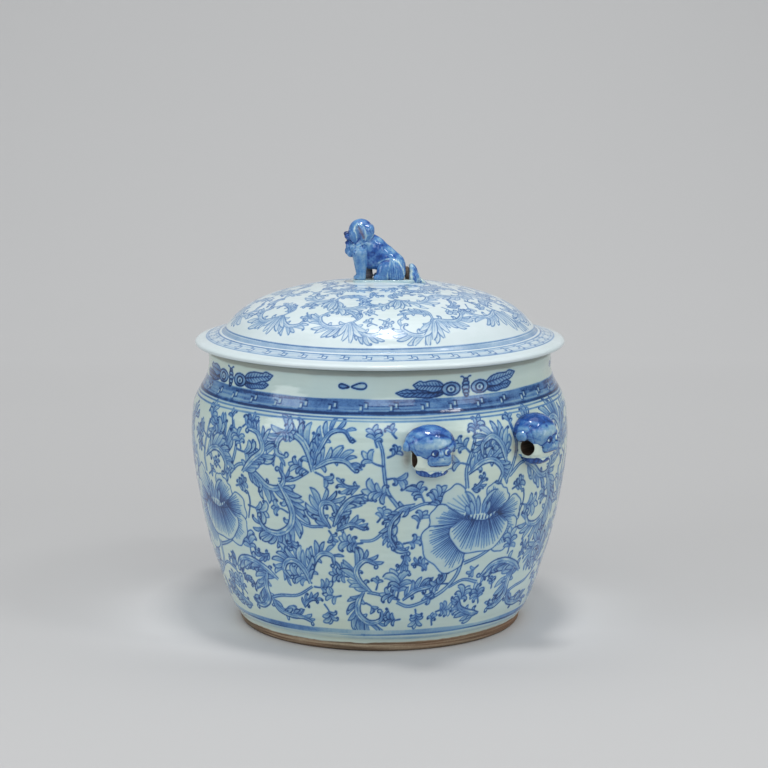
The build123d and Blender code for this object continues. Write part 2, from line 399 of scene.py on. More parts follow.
    def sprig(self, x, y, heading, size, fullness=5, wash=0.5):
        """A small spray: paired tongues roll outwards from a swaying stalk with a broad tip."""
        rng = self.rng
        sway = rng.choice([-1, 1]) * rng.uniform(0.25, 0.8)
        stalk = bend(x, y, heading - sway * 0.3, size * 0.62, sway, 10)
        d = np.gradient(stalk, axis=0)
        ahead = np.unwrap(np.arctan2(d[:, 1], d[:, 0]))
        self.line(stalk, 1.0, 0.6, 0.8)
        self.lobe(*stalk[8], ahead[9] + rng.uniform(-0.2, 0.2),
                  size * 0.46 * rng.uniform(0.9, 1.15), max(1.9, size * 0.23),
                  rng.uniform(-0.9, 0.9), wash=wash * 0.95, blunt=rng.uniform(0.1, 0.6))
        pairs = 3 if fullness >= 5 and size > 11 else 2 if fullness >= 4 or size > 9 else 1
        for j in range(pairs):
            k = int(8 - j * (6.0 / pairs))
            for side in (-1, 1):
                if j == pairs - 1 and pairs > 1 and rng.uniform() < 0.3:
                    continue
                lean = side * (0.50 + 0.30 * j) * rng.uniform(0.75, 1.2)
                length = size * (0.46 - 0.07 * j) * rng.uniform(0.85, 1.2)
                self.lobe(*stalk[k], ahead[k] + lean, length,
                          max(1.6, length * rng.uniform(0.36, 0.46)),
                          side * rng.uniform(0.9, 2.1), wash=wash, blunt=0.6,
                          curl=(max(0.6, size * 0.05) if rng.uniform() < 0.4 else 0))

    def tendril(self, points):
        c = catmull(points)
        self.line(c, 0.9 * 0.8, 0.9, 0.9)
        d = c[-1] - c[-2]
        self.hook(*c[-1], math.atan2(d[1], d[0]), 1.1, 1)

    def petal(self, x, y, heading, half, radius, dark, margin, waves, root, hatch, width):
        """A fan petal with a reserved white margin and fine radiating hatch."""
        rng = self.rng
        phase = rng.uniform(0, 6.28)

        def edge(v):
            wave = 1 + 0.022 * np.sin(waves * math.pi * v + phase)
            return radius * (1 - 0.22 * np.abs(v) ** 4) * wave

        def at(v, r):
            # v runs -1 to 1 across the petal, r outwards
            a = heading + half * v + 0.10 * v * (r / radius)
            return np.stack([x + r * np.cos(a), y + r * np.sin(a)], -1)

        def shade(X, Y):
            r = np.hypot(X - x, Y - y)
            a = np.arctan2(Y - y, X - x) - heading
            v = np.arctan2(np.sin(a), np.cos(a)) / half
            q = (r / np.maximum(edge(np.clip(v, -1, 1)), 1e-3) - root) / (1 - root)
            depth = 0.46 + 0.34 * unit(1.0 - q * 1.3)
            return dark * self.wash * unit((1.03 - margin - q) * 2.6) * depth + 0.04
        u = np.linspace(-1, 1, 37)
        rim = at(u, edge(u))
        inner = at(u[::-4], np.full(len(u[::-4]), root * radius))
        self.canvas.fill(np.vstack([rim, inner]), shade)
        for v in np.linspace(-0.95, 0.95, hatch):
            v = v + rng.uniform(-0.35, 0.35) / hatch
            end = (root + (1 - root) * (1 - margin * rng.uniform(0.75, 1.7))) * edge(v)
            self.line(at(v, np.linspace(root * radius * 1.02, end, 6)), width, width * 0.45,
                      rng.uniform(0.6, 0.95))
        self.line(rim, 0.5, 0.45, 0.9)
        for v in (-1.0, 1.0):
            self.line(at(v, np.linspace(root * radius, edge(v), 6)), 0.45, dark=0.8)

    def flower(self, x, y, s):
        """A big open bloom seen from the side, with a crowned calyx."""
        def at(dx, dy):
            return (x + dx * s, y + dy * s)
        for dx, dy, heading, half, radius, *look in PETALS:
            self.petal(*at(dx, dy), math.radians(heading), math.radians(half), radius * s, *look)
        for i in range(11):
            a = at(-10 + i * 2.6, 1.2 - 2.2 * math.sin(i / 10 * math.pi) + 1.2)
            self.line([a, (a[0] + 0.4, a[1] + 2.4 * s)], 0.8, 0.6, 0.95)
        self.line(catmull([at(-12, 1.6), at(0, -0.6), at(9, -0.8), at(18, 1.2)]), 0.5, dark=0.85)
        # crown: x, heading in degrees, length[, turn]
        for dx, a, size in ((-9, 112, 7), (7, 70, 8), (-5.5, 103, 9.5), (3.4, 80, 10),
                            (-1.2, 92, 12)):
            self.lobe(*at(dx * 0.8, 4), math.radians(a), size * s, 3.4 * s, 0.15, wash=0.85,
                      vein=False)
        for dx, a, size, turn in ((-5, 112, 14, 0.9), (4, 60, 15, -1.0)):
            self.lobe(*at(dx * 0.6, 9), math.radians(a), size * s, 2.6 * s, turn, wash=0.3,
                      vein=False)


# ---------------------------------------------------------------- the wall painting
# x runs round the belly, y up the wall. Stems: width, points
STEMS = [
    (2.2, [(54, 62), (51, 51), (43, 42), (31, 36), (20, 33), (12, 36)]),
    (1.8, [(55, 60), (65, 63), (76, 68)]),
    (1.8, [(-101, 107), (-96, 116), (-93, 127), (-97, 140)]),
    (1.8, [(-99, 110), (-91, 116), (-84, 117)]),
    (1.8, [(-62, 110), (-52, 111), (-43, 116)]),
    (1.6, [(-54, 89), (-44, 84), (-34, 84)]),
    (1.7, [(44, 91), (36, 97), (26, 99), (14, 94)]),
    (1.8, [(11, 97), (5, 106), (3, 118), (2, 130), (-1, 138)]),
    (1.8, [(52, 106), (51, 117), (55, 129), (58, 138)]),
    (1.6, [(4, 84), (-4, 77), (-12, 76)]),
    (1.6, [(-82, 33), (-72, 36), (-58, 38), (-46, 45)]),
    (1.6, [(-8, 43), (2, 41), (12, 38)]),
    (1.6, [(-113, 45), (-124, 48), (-134, 44)])]
# Foliage in painting order. sprig: x, y, heading in degrees, size[, fullness, wash];
# leaf: points, then the arguments of Brush.leaf from side onwards
SCROLL = [
    # top left
    ("sprig", -97, 137, 105, 11, 3), ("sprig", -89, 138, 35, 15), ("sprig", -92, 125, 0, 20),
    ("leaf", [(-101, 119), (-104, 129), (-111, 135), (-118, 131), (-118, 124)], -1, 4.5, 9, 8, 0.6),
    # beside the bloom
    ("sprig", -95, 102, 25, 12), ("tendril", [(-87, 84), (-84, 94), (-85, 100)]),
    ("sprig", -86, 91, -12, 18),
    # the great scroll
    ("leaf", [(-85, 116), (-77, 112), (-69, 106), (-61, 106), (-57, 112), (-60, 118)],
     -1, 4.6, 8.5, 10),
    ("leaf", [(-61, 107), (-56, 99), (-53, 90), (-56, 81), (-65, 76), (-75, 78), (-79, 85)],
     1, 5.2, 11, 12),
    ("sprig", -57, 90, 165, 12, 4), ("sprig", -56, 77, -80, 11, 3),
    # the crest scroll
    ("sprig", -41, 117, 160, 14, 6),
    ("leaf", [(-39, 117), (-41, 127), (-46, 135), (-54, 138), (-61, 134), (-62, 126), (-56, 124)],
     -1, 5.0, 11, 12),
    ("sprig", -37, 117, -35, 12, 3),
    ("leaf", [(-38, 121), (-34, 131), (-28, 140), (-20, 141), (-16, 135)], 1, 3.2, 7, 7),
    ("leaf", [(-37, 119), (-28, 124), (-19, 124), (-13, 118)], 1, 3.6, 8, 7),
    # middle
    ("sprig", -31, 82, -70, 9, 3),
    ("leaf", [(-30, 83), (-35, 91), (-34, 98), (-28, 98), (-26, 92)], 1, 4.2, 9.5, 8),
    ("leaf", [(-27, 85), (-22, 95), (-16, 102), (-8, 105)], -1, 3.6, 8, 7),
    ("leaf", [(-26, 83), (-17, 87), (-9, 84)], 1, 3.0, 5.5, 5),
    # upright spray
    ("sprig", -1, 132, 95, 14), ("sprig", 2, 122, 150, 14, 4), ("sprig", 4, 127, 35, 10, 3),
    ("sprig", 4, 113, -5, 14, 4), ("sprig", 6, 103, 165, 17),
    # between bloom and spray
    ("sprig", 26, 100, 115, 15), ("sprig", 29, 99, 35, 15),
    ("leaf", [(21, 98), (12, 95), (6, 87), (6, 78), (11, 70), (18, 69)], 1, 4.0, 7.5, 9),
    ("leaf", [(13, 95), (7, 88), (6, 79), (10, 72)], -1, 3.0, 5.5, 6, 0.5, 0.8, 0, False),
    ("sprig", 14, 75, 15, 12, 4), ("sprig", 22, 84, 65, 12, 4), ("sprig", -10, 75, 182, 16),
    ("sprig", -2, 88, 60, 11, 3),
    # lower middle
    ("sprig", -20, 52, 172, 13),
    ("leaf", [(-6, 43), (-13, 50), (-15, 58), (-9, 64), (-2, 61)], 1, 4.2, 9, 8),
    ("leaf", [(-45, 50), (-42, 60), (-36, 67), (-29, 66), (-28, 60)], 1, 4.0, 8, 7),
    ("sprig", -46, 47, 165, 18, 6), ("sprig", -44, 45, 8, 15, 4),
    ("leaf", [(-46, 46), (-48, 54), (-54, 60), (-61, 59), (-64, 53), (-60, 48)], -1, 4.8, 10, 10),
    # lower left
    ("sprig", -91, 60, 95, 18, 6),
    ("leaf", [(-72, 46), (-81, 52), (-92, 56), (-103, 55), (-111, 48)], 1, 5.0, 10, 10, 0.55),
    ("leaf", [(-79, 50), (-83, 41), (-83, 32), (-90, 26), (-98, 25)], -1, 5.0, 10, 10, 0.58),
    ("leaf", [(-80, 34), (-76, 26), (-66, 23), (-56, 23), (-49, 20)], 1, 4.2, 8, 8, 0.6),
    ("sprig", -108, 30, 120, 17), ("sprig", -128, 30, 60, 17), ("sprig", -136, 46, 190, 14),
    # bottom
    ("sprig", -38, 33, -65, 16), ("sprig", -26, 40, 188, 12, 4),
    ("leaf", [(-10, 43), (-14, 36), (-14, 28), (-7, 22), (1, 24), (2, 30)], -1, 5.0, 9, 10, 0.62),
    ("sprig", 14, 24, 175, 13, 4, 0.7), ("sprig", 24, 30, -85, 14), ("sprig", 40, 28, 10, 14),
    ("leaf", [(75, 22), (66, 24), (58, 28), (55, 35)], 1, 4.6, 8, 7, 0.65),
    # inside the bloom's stalk
    ("sprig", 13, 37, 150, 15, 4), ("sprig", 12, 39, 88, 22),
    ("leaf", [(15, 37), (23, 43), (32, 45), (41, 48), (43, 54)], 1, 3.6, 7.5, 7),
    ("sprig", 28, 42, -40, 10, 3),
    # above the bloom
    ("sprig", 57, 135, 75, 15), ("sprig", 60, 128, 20, 20), ("sprig", 52, 119, 165, 13, 4),
    ("sprig", 53, 127, 140, 12, 3),
    ("leaf", [(53, 115), (62, 121), (71, 121), (77, 114), (74, 107)], 1, 4.2, 9, 9)]
# added in the quarters without lugs
SCROLL_BETWEEN_LUGS = [
    ("leaf", [(38, 112), (30, 118), (24, 127), (29, 136), (37, 136)], 1, 4.6, 9, 9),
    ("sprig", 36, 122, 30, 14), ("sprig", 16, 128, 40, 12, 3),
    ("leaf", [(92, 112), (100, 120), (108, 127), (104, 136), (96, 138)], -1, 4.6, 9, 9),
    ("sprig", 92, 126, 120, 13), ("sprig", 118, 138, 10, 13)]


def wall_quarter(brush, shift, lugs):
    """One quarter of the scroll, moved round the pot by shift and jittered."""
    rng = brush.rng

    def jitter(points):
        dx, dy = rng.uniform(-0.8, 0.8, 2)
        return [(x + shift + dx, y + dy) for x, y in points]
    # stems first: the leaves cover their ends
    for width, points in STEMS:
        brush.stem(jitter(points), width)
    for kind, *row in SCROLL + ([] if lugs else SCROLL_BETWEEN_LUGS):
        if kind == "sprig":
            x, y, degrees, size, *look = row
            (x, y), = jitter([(x, y)])
            brush.sprig(x, y, math.radians(degrees + rng.uniform(-6, 6)),
                        size * rng.uniform(0.95, 1.06), *look)
        elif kind == "leaf":
            brush.leaf(jitter(row[0]), *row[1:])
        else:
            brush.tendril(jitter(row[0]))
    if shift == 0:
        brush.flower(61.5, 86, 0.92)
    else:
        brush.flower(59 + shift, 86 + rng.uniform(-2, 2), rng.uniform(0.86, 0.94))


def fill_gaps(brush, low, high, largest, keep_clear=(), rim=None):
    """Small sprigs dropped into bare places between y low and high, widest place first.
    keep_clear lists discs (x, y, radius) to leave alone; rim is the radius of a round sheet."""
    cell, smallest = 2.0, 4.6
    canvas, rng = brush.canvas, brush.rng
    k = int(cell * DOTS)
    covered = np.maximum(canvas.ink, canvas.wash) > 0.12
    h, w = covered.shape[0] // k, covered.shape[1] // k
    busy = covered[:h * k, :w * k].reshape(h, k, w, k).any(axis=(1, 3))
    row, column = np.mgrid[0:h, 0:w]
    X = canvas.x0 + (column + 0.5) * cell
    Y = canvas.y0 + (row + 0.5) * cell
    for x, y, r in keep_clear:
        dx = (X - x + canvas.wrap / 2) % canvas.wrap - canvas.wrap / 2
        busy |= (dx ** 2 + (Y - y) ** 2) < r ** 2
    busy |= (Y < low) | (Y > high)
    if rim:
        busy |= np.hypot(X, Y) > rim
    # distance to the nearest busy cell, in cells
    room = np.where(busy, 0, 99).astype(float)
    for _ in range(12):
        for dy, dx, step in ((0, 1, 1), (0, -1, 1), (1, 0, 1), (-1, 0, 1),
                             (1, 1, 1.41), (-1, -1, 1.41), (1, -1, 1.41), (-1, 1, 1.41)):
            room = np.minimum(room, np.roll(room, (dy, dx), (0, 1)) + step)
    for _ in range(400):
        i, j = np.unravel_index(np.argmax(room), room.shape)
        r = room[i, j] * cell
        if r < smallest:
            break
        r = min(r, largest)
        x, y = canvas.x0 + (j + 0.5) * cell, canvas.y0 + (i + 0.5) * cell
        a = rng.uniform(0, 2 * math.pi)
        hand = 1 if rng.uniform() < 0.5 else -1
        spine = bend(x - math.cos(a) * r * 0.9, y - math.sin(a) * r * 0.9, a - 0.5 * hand,
                     r * 2.1, 2.3 * hand, 6)
        if r > 5.4:
            brush.leaf(spine[:-1], -hand, max(1.6, r * 0.34), max(3.4, r * 0.80),
                       int(rng.integers(3, 5)), spread=0.7, back=1)
        else:
            brush.sprig(*spine[0], a, r * 1.9, 3)
        d2 = ((column - j + w // 2) % w - w // 2) ** 2 + (row - i) ** 2
        room = np.minimum(room, np.sqrt(d2) - r / cell)


def fret(canvas, place, length, low, high, count, rng, size):
    """Small paired reserved marks of a key fret. place(x, y) maps the band to the canvas."""
    for i in range(count):
        mid_x = (i + 0.5) * length / count + rng.uniform(-0.6, 0.6)
        h = high - low
        w, a, b = 1.1 * size, h * 0.20, h * 0.13
        for dx, dy in ((-1.9, -0.12), (1.3, 0.10)):
            x = mid_x + dx
            y = (low + high) / 2 + dy * h
            canvas.fill([place(x - w, y - a), place(x, y - a), place(x + 0.15, y + b),
                         place(x - w * 0.85, y + b)], 0.06)
            canvas.stroke([place(x + 0.5, y - a), place(x + 0.6, y + b + h * 0.08),
                           place(x - w * 1.3, y + b + h * 0.1)], 0.55, dark=0.95)
            canvas.stroke([place(x - w * 1.4, y - a * 1.4), place(x + 0.8, y - a * 1.4)],
                          0.5, dark=0.8)


def drop(brush, x, y, length, angle, wash=0.12):
    t = np.linspace(0, 2 * math.pi, 25)[:-1]
    outline = np.stack([(np.cos(t) * 0.5) * length,
                        np.sin(t) * (0.17 + 0.09 * np.cos(t)) * length], 1)
    c, s = math.cos(angle), math.sin(angle)
    p = [(x + u * c - v * s, y + u * s + v * c) for u, v in outline]
    brush.canvas.fill(p, wash)
    brush.line(p + [p[0]], 0.62)


# Outer wings on each side (towards +x: 1): length, rise, half width, tilt, tone
WINGS = {-1: ((31, -2.4, 2.7, 0.0, 0.55), (20, 0.9, 3.3, 0.05, 0.26)),
         1: ((22, -1.8, 2.8, 0.02, 0.50), (26, 0.9, 3.3, 0.13, 0.26))}


def outer_wing(brush, x, y, side, length, rise, half, tilt, tone):
    """A long leafy wing, veined."""
    c, s = math.cos(tilt), math.sin(tilt)

    def at(u, v):
        return (x + side * (u * c - v * s), y + rise + u * s + v * c)
    top = catmull([at(-1, 0), at(length * 0.16, half * 0.86), at(length * 0.42, half),
                   at(length * 0.66, half * 0.72), at(length * 0.80, half * 0.86),
                   at(length, half * 0.2)], 5)
    low = catmull([at(length, half * 0.2), at(length * 0.82, -half * 0.62),
                   at(length * 0.6, -half * 0.72), at(length * 0.36, -half),
                   at(length * 0.12, -half * 0.7), at(-1, 0)], 5)
    outline = np.vstack([top, low[1:]])
    brush.canvas.fill(outline, lambda X, Y: tone * np.clip(
        1.3 - 0.9 * np.abs(X - x) / length, 0.3, 1.3))
    brush.line(outline, 0.50, dark=0.95)
    brush.line(catmull([at(0, 0), at(length * 0.5, half * 0.1), at(length * 0.92, half * 0.1)]),
               0.55, 0.3, 0.9)
    for k in range(8):
        u = length * (0.10 + 0.10 * k)
        for up in (-1, 1):
            a = at(u, 0)
            b = at(u + length * 0.10, up * half * (0.80 - 0.04 * k))
            mid = ((a[0] + b[0]) / 2 + 0.1 * side, (a[1] + b[1]) / 2 - 0.1 * up)
            brush.line([a, mid, b], 0.42, 0.24, 0.8)


def butterfly(brush, x, y):
    """An insect with ringed inner wings and long leafy outer wings."""
    fill = brush.canvas.fill
    for side in (-1, 1):
        for wing in WINGS[side]:
            outer_wing(brush, x + side * 15.5, y, side, *wing)
        cx = x + side * 10.4
        ring = oval(cx, y - 0.6, 6.4, 3.7, 22)
        fill(ring[:-1], 0.3)
        brush.line(ring, 0.6)
        eye = oval(cx, y - 0.8, 3.0, 2.2, 22)
        fill(eye[:-1], 0.05)
        brush.line(eye, 0.75)
        fill(oval(cx, y - 0.9, 1.0, 0.9, 22)[:-1], 0.8)
        brush.line(bend(x + side * 0.8, y + 4.4, math.radians(90 - side * 35), 3.5,
                        -side * 1.3, 6), 0.5)
    for dy, r in ((3.9, 1.5), (1.9, 2.3), (-0.4, 2.6), (-2.7, 2.1), (-4.6, 1.4)):
        segment = oval(x, y + dy, r, r * 0.62, 16)
        fill(segment[:-1], 0.25)
        brush.line(segment, 0.7)


def band_piece(canvas, x0, y0, x1, y1, half, wash):
    """A short length of painted band; it overlaps the next one slightly."""
    x1 = x1 + 0.1
    canvas.fill([(x0, y0 - half), (x1, y1 - half), (x1, y1 + half), (x0, y0 + half)], wash)


def wall_ring(canvas, y, width, wash, uneven, ink=0.0, wobble=0.25):
    """A hand-drawn band round the pot, its tone uneven."""
    x = np.arange(0, ROUND + 3, 3.0)
    a = x * 2 * math.pi / ROUND
    ys = y + wobble * np.sin(a * 3 + y) + wobble * 0.4 * np.sin(a * 11 + 2 * y)
    k = 1 + uneven * np.sin(a * 2 + y * 1.7) * np.sin(a * 5 + y)
    for i in range(len(x) - 1):
        band_piece(canvas, x[i], ys[i], x[i + 1], ys[i + 1], width / 2, wash * k[i])
        if ink:
            canvas.stroke([(x[i], ys[i]), (x[i + 1], ys[i + 1])], width, dark=ink * k[i])


def paint_pot():
    canvas = Canvas(0, 0, ROUND, SHEET_TOP, wrap=ROUND)
    rng = np.random.default_rng(11)
    brush = Brush(canvas, rng, fine=1.2, ink=1.0, wash=0.50)
    for q in range(4):
        wall_quarter(brush, q * PERIOD, q % 2 == 0)
    fill_gaps(brush, 19, 146, 11.0, [(x, *LUG_CLEAR) for x in LUG_X])
    # shoulder: a key-fret ledge, streaked along its length
    wall_ring(canvas, 155.2, 9.6, 0.50, uneven=0.2)
    for k in range(70):
        y, length = rng.uniform(151.4, 159.4), rng.uniform(20, 90)
        x = rng.uniform(0, ROUND)
        xs = np.arange(x, x + length, 2.5)
        ys = y + 0.25 * np.sin(xs * 0.08 + k)
        half = rng.uniform(0.25, 0.8)
        tone = rng.uniform(0.22, 0.88)
        for piece in zip(xs[:-1], ys[:-1], xs[1:], ys[1:]):
            band_piece(canvas, *piece, half, tone)
    wall_ring(canvas, 158.9, 1.8, 0.60, uneven=0.4)
    wall_ring(canvas, 151.6, 1.5, 0.95, uneven=0.2, ink=0.35)
    wall_ring(canvas, 153.4, 0.9, 0.30, uneven=0.3)
    fret(canvas, lambda x, y: (x, y), ROUND, 152.4, 159.4, 38, rng, size=1.25)
    wall_ring(canvas, 148.9, 0.9, 0.4, uneven=0.4, ink=0.25)
    wall_ring(canvas, 146.7, 0.9, 0.34, uneven=0.5, ink=0.2)
    # foot lines
    wall_ring(canvas, 14.4, 3.2, 0.30, uneven=0.85, wobble=0.35)
    wall_ring(canvas, 12.6, 1.0, 0.5, uneven=0.85, ink=0.26, wobble=0.35)
    wall_ring(canvas, 10.2, 2.4, 0.10, uneven=0.6, wobble=0.4)
    # neck: a butterfly over each bloom and a small pair of drops between
    neck = Brush(canvas, rng, fine=1.45, ink=1.1, wash=0.9)
    for q in range(4):
        butterfly(neck, 56.5 + q * PERIOD + (10.5 if q == 3 else 0), 165.4)
        x = -16 + q * PERIOD
        drop(neck, x + 3, 167.4, 9.5, 0.08)
        drop(neck, x - 6.5, 167.2, 6.5, math.pi - 0.1, 0.35)
    canvas.bleed(0.26)
    return canvas


# ---------------------------------------------------------------- the lid painting
LID_TONE = 0.42
# Band rings: radius, width, wash, ink
FLANGE_RINGS = [
    (102.7, 2.4, 0.22, 0), (101.0, 0.8, 0.45, 0.26), (103.9, 0.6, 0.4, 0.12),
    (110.3, 8.2, 0.09, 0), (106.4, 0.8, 0.48, 0.24), (114.2, 0.8, 0.42, 0.20),
    (108.2, 0.8, 0.25, 0), (112.7, 0.8, 0.25, 0)]
SEAT_RINGS = [(21.4, 0.6, 0.3, 0.5), (28.6, 0.7, 0.3, 0.5)]
FRET_RADIUS = 110.4


def polar(azimuth, r):
    return (r * math.sin(azimuth), -r * math.cos(azimuth))


def fan(brush, azimuth, radius, hand, scale=1.0):
    """A fan of foliage on the lid. Locally x is towards +azimuth and y outwards."""
    rng = brush.rng
    lean = rng.uniform(-0.38, 0.38)
    c, s = math.cos(lean), math.sin(lean)
    scale *= rng.uniform(0.9, 1.1)

    def place(points):
        out = []
        for x, y in points:
            r = radius + (hand * x * s + y * c) * scale
            out.append(polar(azimuth + (hand * x * c - y * s) * scale / max(r, 20), r))
        return out

    def leaf(points, side, width, length, tongues, spread=0.8):
        brush.leaf(place(points), side, width * scale, length * scale, tongues, LID_TONE, spread)
    outwards = azimuth - math.pi / 2 + lean
    brush.stem(place([(-6, -16), (0, -15), (3, -11), (1.5, -6), (0, -3)]), 1.5 * scale)
    leaf([(0, -4), (-5, 2), (-12, 5), (-19, 3), (-22, -3), (-18, -6)], hand, 3.6, 9.0, 8, 0.75)
    leaf([(1, -4), (8, 1), (15, 3), (21, 0), (21, -5)], -hand, 3.2, 7.5, 7, 0.75)
    for splay, length in ((-0.62, 11), (0.62, 11), (-0.22, 14), (0.24, 13.5), (0.0, 15)):
        (x, y), = place([(splay * 3, -2)])
        turn = 0.5 * (1 if splay > 0 else -1) * rng.uniform(0.3, 1.4)
        brush.lobe(x, y, outwards + hand * splay, length * scale, 3.4 * scale, turn,
                   wash=LID_TONE, blunt=0.6)
    leaf([(2, -8), (-4, -13), (-11, -14), (-14, -10)], -hand, 2.4, 5.5, 5)
    (x, y), = place([(15, -12)])
    brush.sprig(x, y, outwards + hand * 0.9, 11 * scale, 4, LID_TONE)


def paint_lid():
    """The lid from above, flattened: distance from the centre is distance along the dome."""
    canvas = Canvas(-LID_SHEET, -LID_SHEET, LID_SHEET, LID_SHEET)
    rng = np.random.default_rng(23)
    brush = Brush(canvas, rng, fine=0.88, ink=0.88, wash=0.31)
    for i in range(10):
        fan(brush, 2 * math.pi * (i + 0.62 + rng.uniform(-0.1, 0.1)) / 10,
            83 + rng.uniform(-3, 2), 1 if rng.uniform() < 0.5 else -1)
    for i in range(7):
        fan(brush, 2 * math.pi * (i + 0.3 + rng.uniform(-0.15, 0.15)) / 7,
            56 + rng.uniform(-4, 3), -1 if rng.uniform() < 0.5 else 1, 0.86)
    for i in range(4):
        fan(brush, 2 * math.pi * (i + 0.6) / 4, 33, 1, 0.62)
    Y = (canvas.y0 + (np.arange(canvas.h) + 0.5) / DOTS)[:, None]
    X = (canvas.x0 + (np.arange(canvas.w) + 0.5) / DOTS)[None, :]
    R = np.hypot(X, Y)
    azimuth = np.arctan2(Y, X)
    # the flange and the finial's seat count as covered while the gaps are filled
    hold = canvas.wash.copy()
    outside = (R > 98) | (R < 23)
    canvas.wash = np.where(outside, 1.0, canvas.wash)
    fill_gaps(brush, -98, 98, 8.0, rim=93.0)
    canvas.wash = np.where(outside, hold, canvas.wash)
    keep = (R < 99.4) & (R > 22)
    canvas.ink *= keep
    canvas.wash *= keep

    def ring(r, width, wash, ink):
        d = np.abs(R - r - 0.25 * np.sin(3 * azimuth + r)) - width / 2
        a = unit(-d / SOFT_EDGE + 0.5)
        m = 1 + 0.25 * np.sin(2 * azimuth + r * 1.3)
        canvas.wash = canvas.wash * (1 - a) + a * wash * m
        canvas.ink = np.maximum(canvas.ink * (1 - a), a * ink * m)
    for row in FLANGE_RINGS:
        ring(*row)
    fret(canvas, lambda x, y: polar(x / FRET_RADIUS, y), 2 * math.pi * FRET_RADIUS,
         106.8, 114.0, 50, rng, size=1.15)
    for row in SEAT_RINGS:
        ring(*row)
    canvas.bleed(0.12)
    return canvas


# ---------------------------------------------------------------- meshes
def make_mesh(name, co, faces, **attributes):
    """Mesh object from an (n, 3) array in metres, (m, k) index arrays and vertex attributes."""
    me = bpy.data.meshes.new(name)
    me.vertices.add(len(co))
    me.vertices.foreach_set("co", np.ascontiguousarray(co, np.float32).ravel())
    index, start, at = [], [], 0
    for f in faces:
        k = f.shape[1]
        index.append(f.ravel())
        start.append(at + np.arange(len(f)) * k)
        at += f.size
    index = np.concatenate(index).astype(np.int32)
    start = np.concatenate(start).astype(np.int32)
    me.loops.add(len(index))
    me.loops.foreach_set("vertex_index", index)
    me.polygons.add(len(start))
    me.polygons.foreach_set("loop_start", start)
    me.polygons.foreach_set("use_smooth", np.full(len(start), True))
    me.update(calc_edges=True)
    me.validate()
    ob = bpy.data.objects.new(name, me)
    bpy.context.scene.collection.objects.link(ob)
    for key, values in attributes.items():
        a = me.attributes.new(key, "FLOAT", "POINT")
        a.data.foreach_set("value", np.ascontiguousarray(values, np.float32))
    return ob


def ring_count(r, top, cell):
    """Sections for a ring of radius r: top, halved until the spacing reaches cell."""
    n = top
    while n > 13 and 2 * math.pi * r / n < cell and n % 2 == 0:
        n //= 2
    return n


def lathe(path, counts):
    """Turns (radius, z) rows. Returns angle, row, radius and z of each vertex, and the faces."""
    counts = [n if r > 1e-6 else 1 for (r, z), n in zip(path, counts)]
    # neighbouring rings may only keep, halve or double their sections
    steps = [(i, i + 1) for i in range(len(counts) - 1)]
    steps += [(b, a) for a, b in reversed(steps)]
    for here, there in steps:
        if counts[here] > 1 and counts[there] > 2 * counts[here]:
            counts[there] = 2 * counts[here]
    angle = np.concatenate([np.arange(n) * 2 * math.pi / n for n in counts])
    row = np.repeat(np.arange(len(counts)), counts)
    first = list(zip(np.cumsum([0] + counts[:-1]), counts))
    quads, tris = [], []
    for (a, n), (b, m) in zip(first[:-1], first[1:]):
        j = np.arange(min(n, m) if min(n, m) > 1 else max(n, m))
        k = (j + 1) % len(j)
        if n == m:
            quads.append(np.stack([a + j, a + k, b + k, b + j], 1))
        elif n == 1:
            tris.append(np.stack([np.full(m, a), b + k, b + j], 1))
        elif m == 1:
            tris.append(np.stack([a + j, a + k, np.full(n, b)], 1))
        elif n == 2 * m:
            tris.append(np.stack([a + 2 * j, a + 2 * j + 1, b + j], 1))
            tris.append(np.stack([a + 2 * j + 1, b + k, b + j], 1))
            tris.append(np.stack([a + 2 * j + 1, a + (2 * j + 2) % n, b + k], 1))
        else:
            tris.append(np.stack([a + j, b + 2 * j + 1, b + 2 * j], 1))
            tris.append(np.stack([a + j, a + k, b + 2 * j + 1], 1))
            tris.append(np.stack([a + k, b + (2 * j + 2) % m, b + 2 * j + 1], 1))
    faces = [np.concatenate(q) for q in (quads, tris) if q]
    return angle, row, np.maximum(path[row, 0], 0.0), path[row, 1], faces


def value_noise(p, seed):
    """Smooth value noise in -1..1 at points p (n, 3), one unit per lattice cell."""
    i = np.floor(p).astype(np.int64)
    f = p - i
    f = f * f * (3 - 2 * f)

    def lattice(a, b, c):
        v = (a * 374761393 + b * 668265263 + c * 2147483647 + seed * 1274126177) & 0xFFFFFFFF
        v = ((v ^ (v >> 13)) * 1274126177) & 0xFFFFFFFF
        v = (v ^ (v >> 16)) & 0xFFFFFF
        return v / 8388607.5 - 1
    out = 0
    for dx in (0, 1):
        for dy in (0, 1):
            for dz in (0, 1):
                w = ((f[:, 0] if dx else 1 - f[:, 0]) * (f[:, 1] if dy else 1 - f[:, 1])
                     * (f[:, 2] if dz else 1 - f[:, 2]))
                out = out + w * lattice(i[:, 0] + dx, i[:, 1] + dy, i[:, 2] + dz)
    return out


# ---------------------------------------------------------------- the pot and lid, thrown
BOWL_CURVE = catmull(BOWL_WALL, 24)


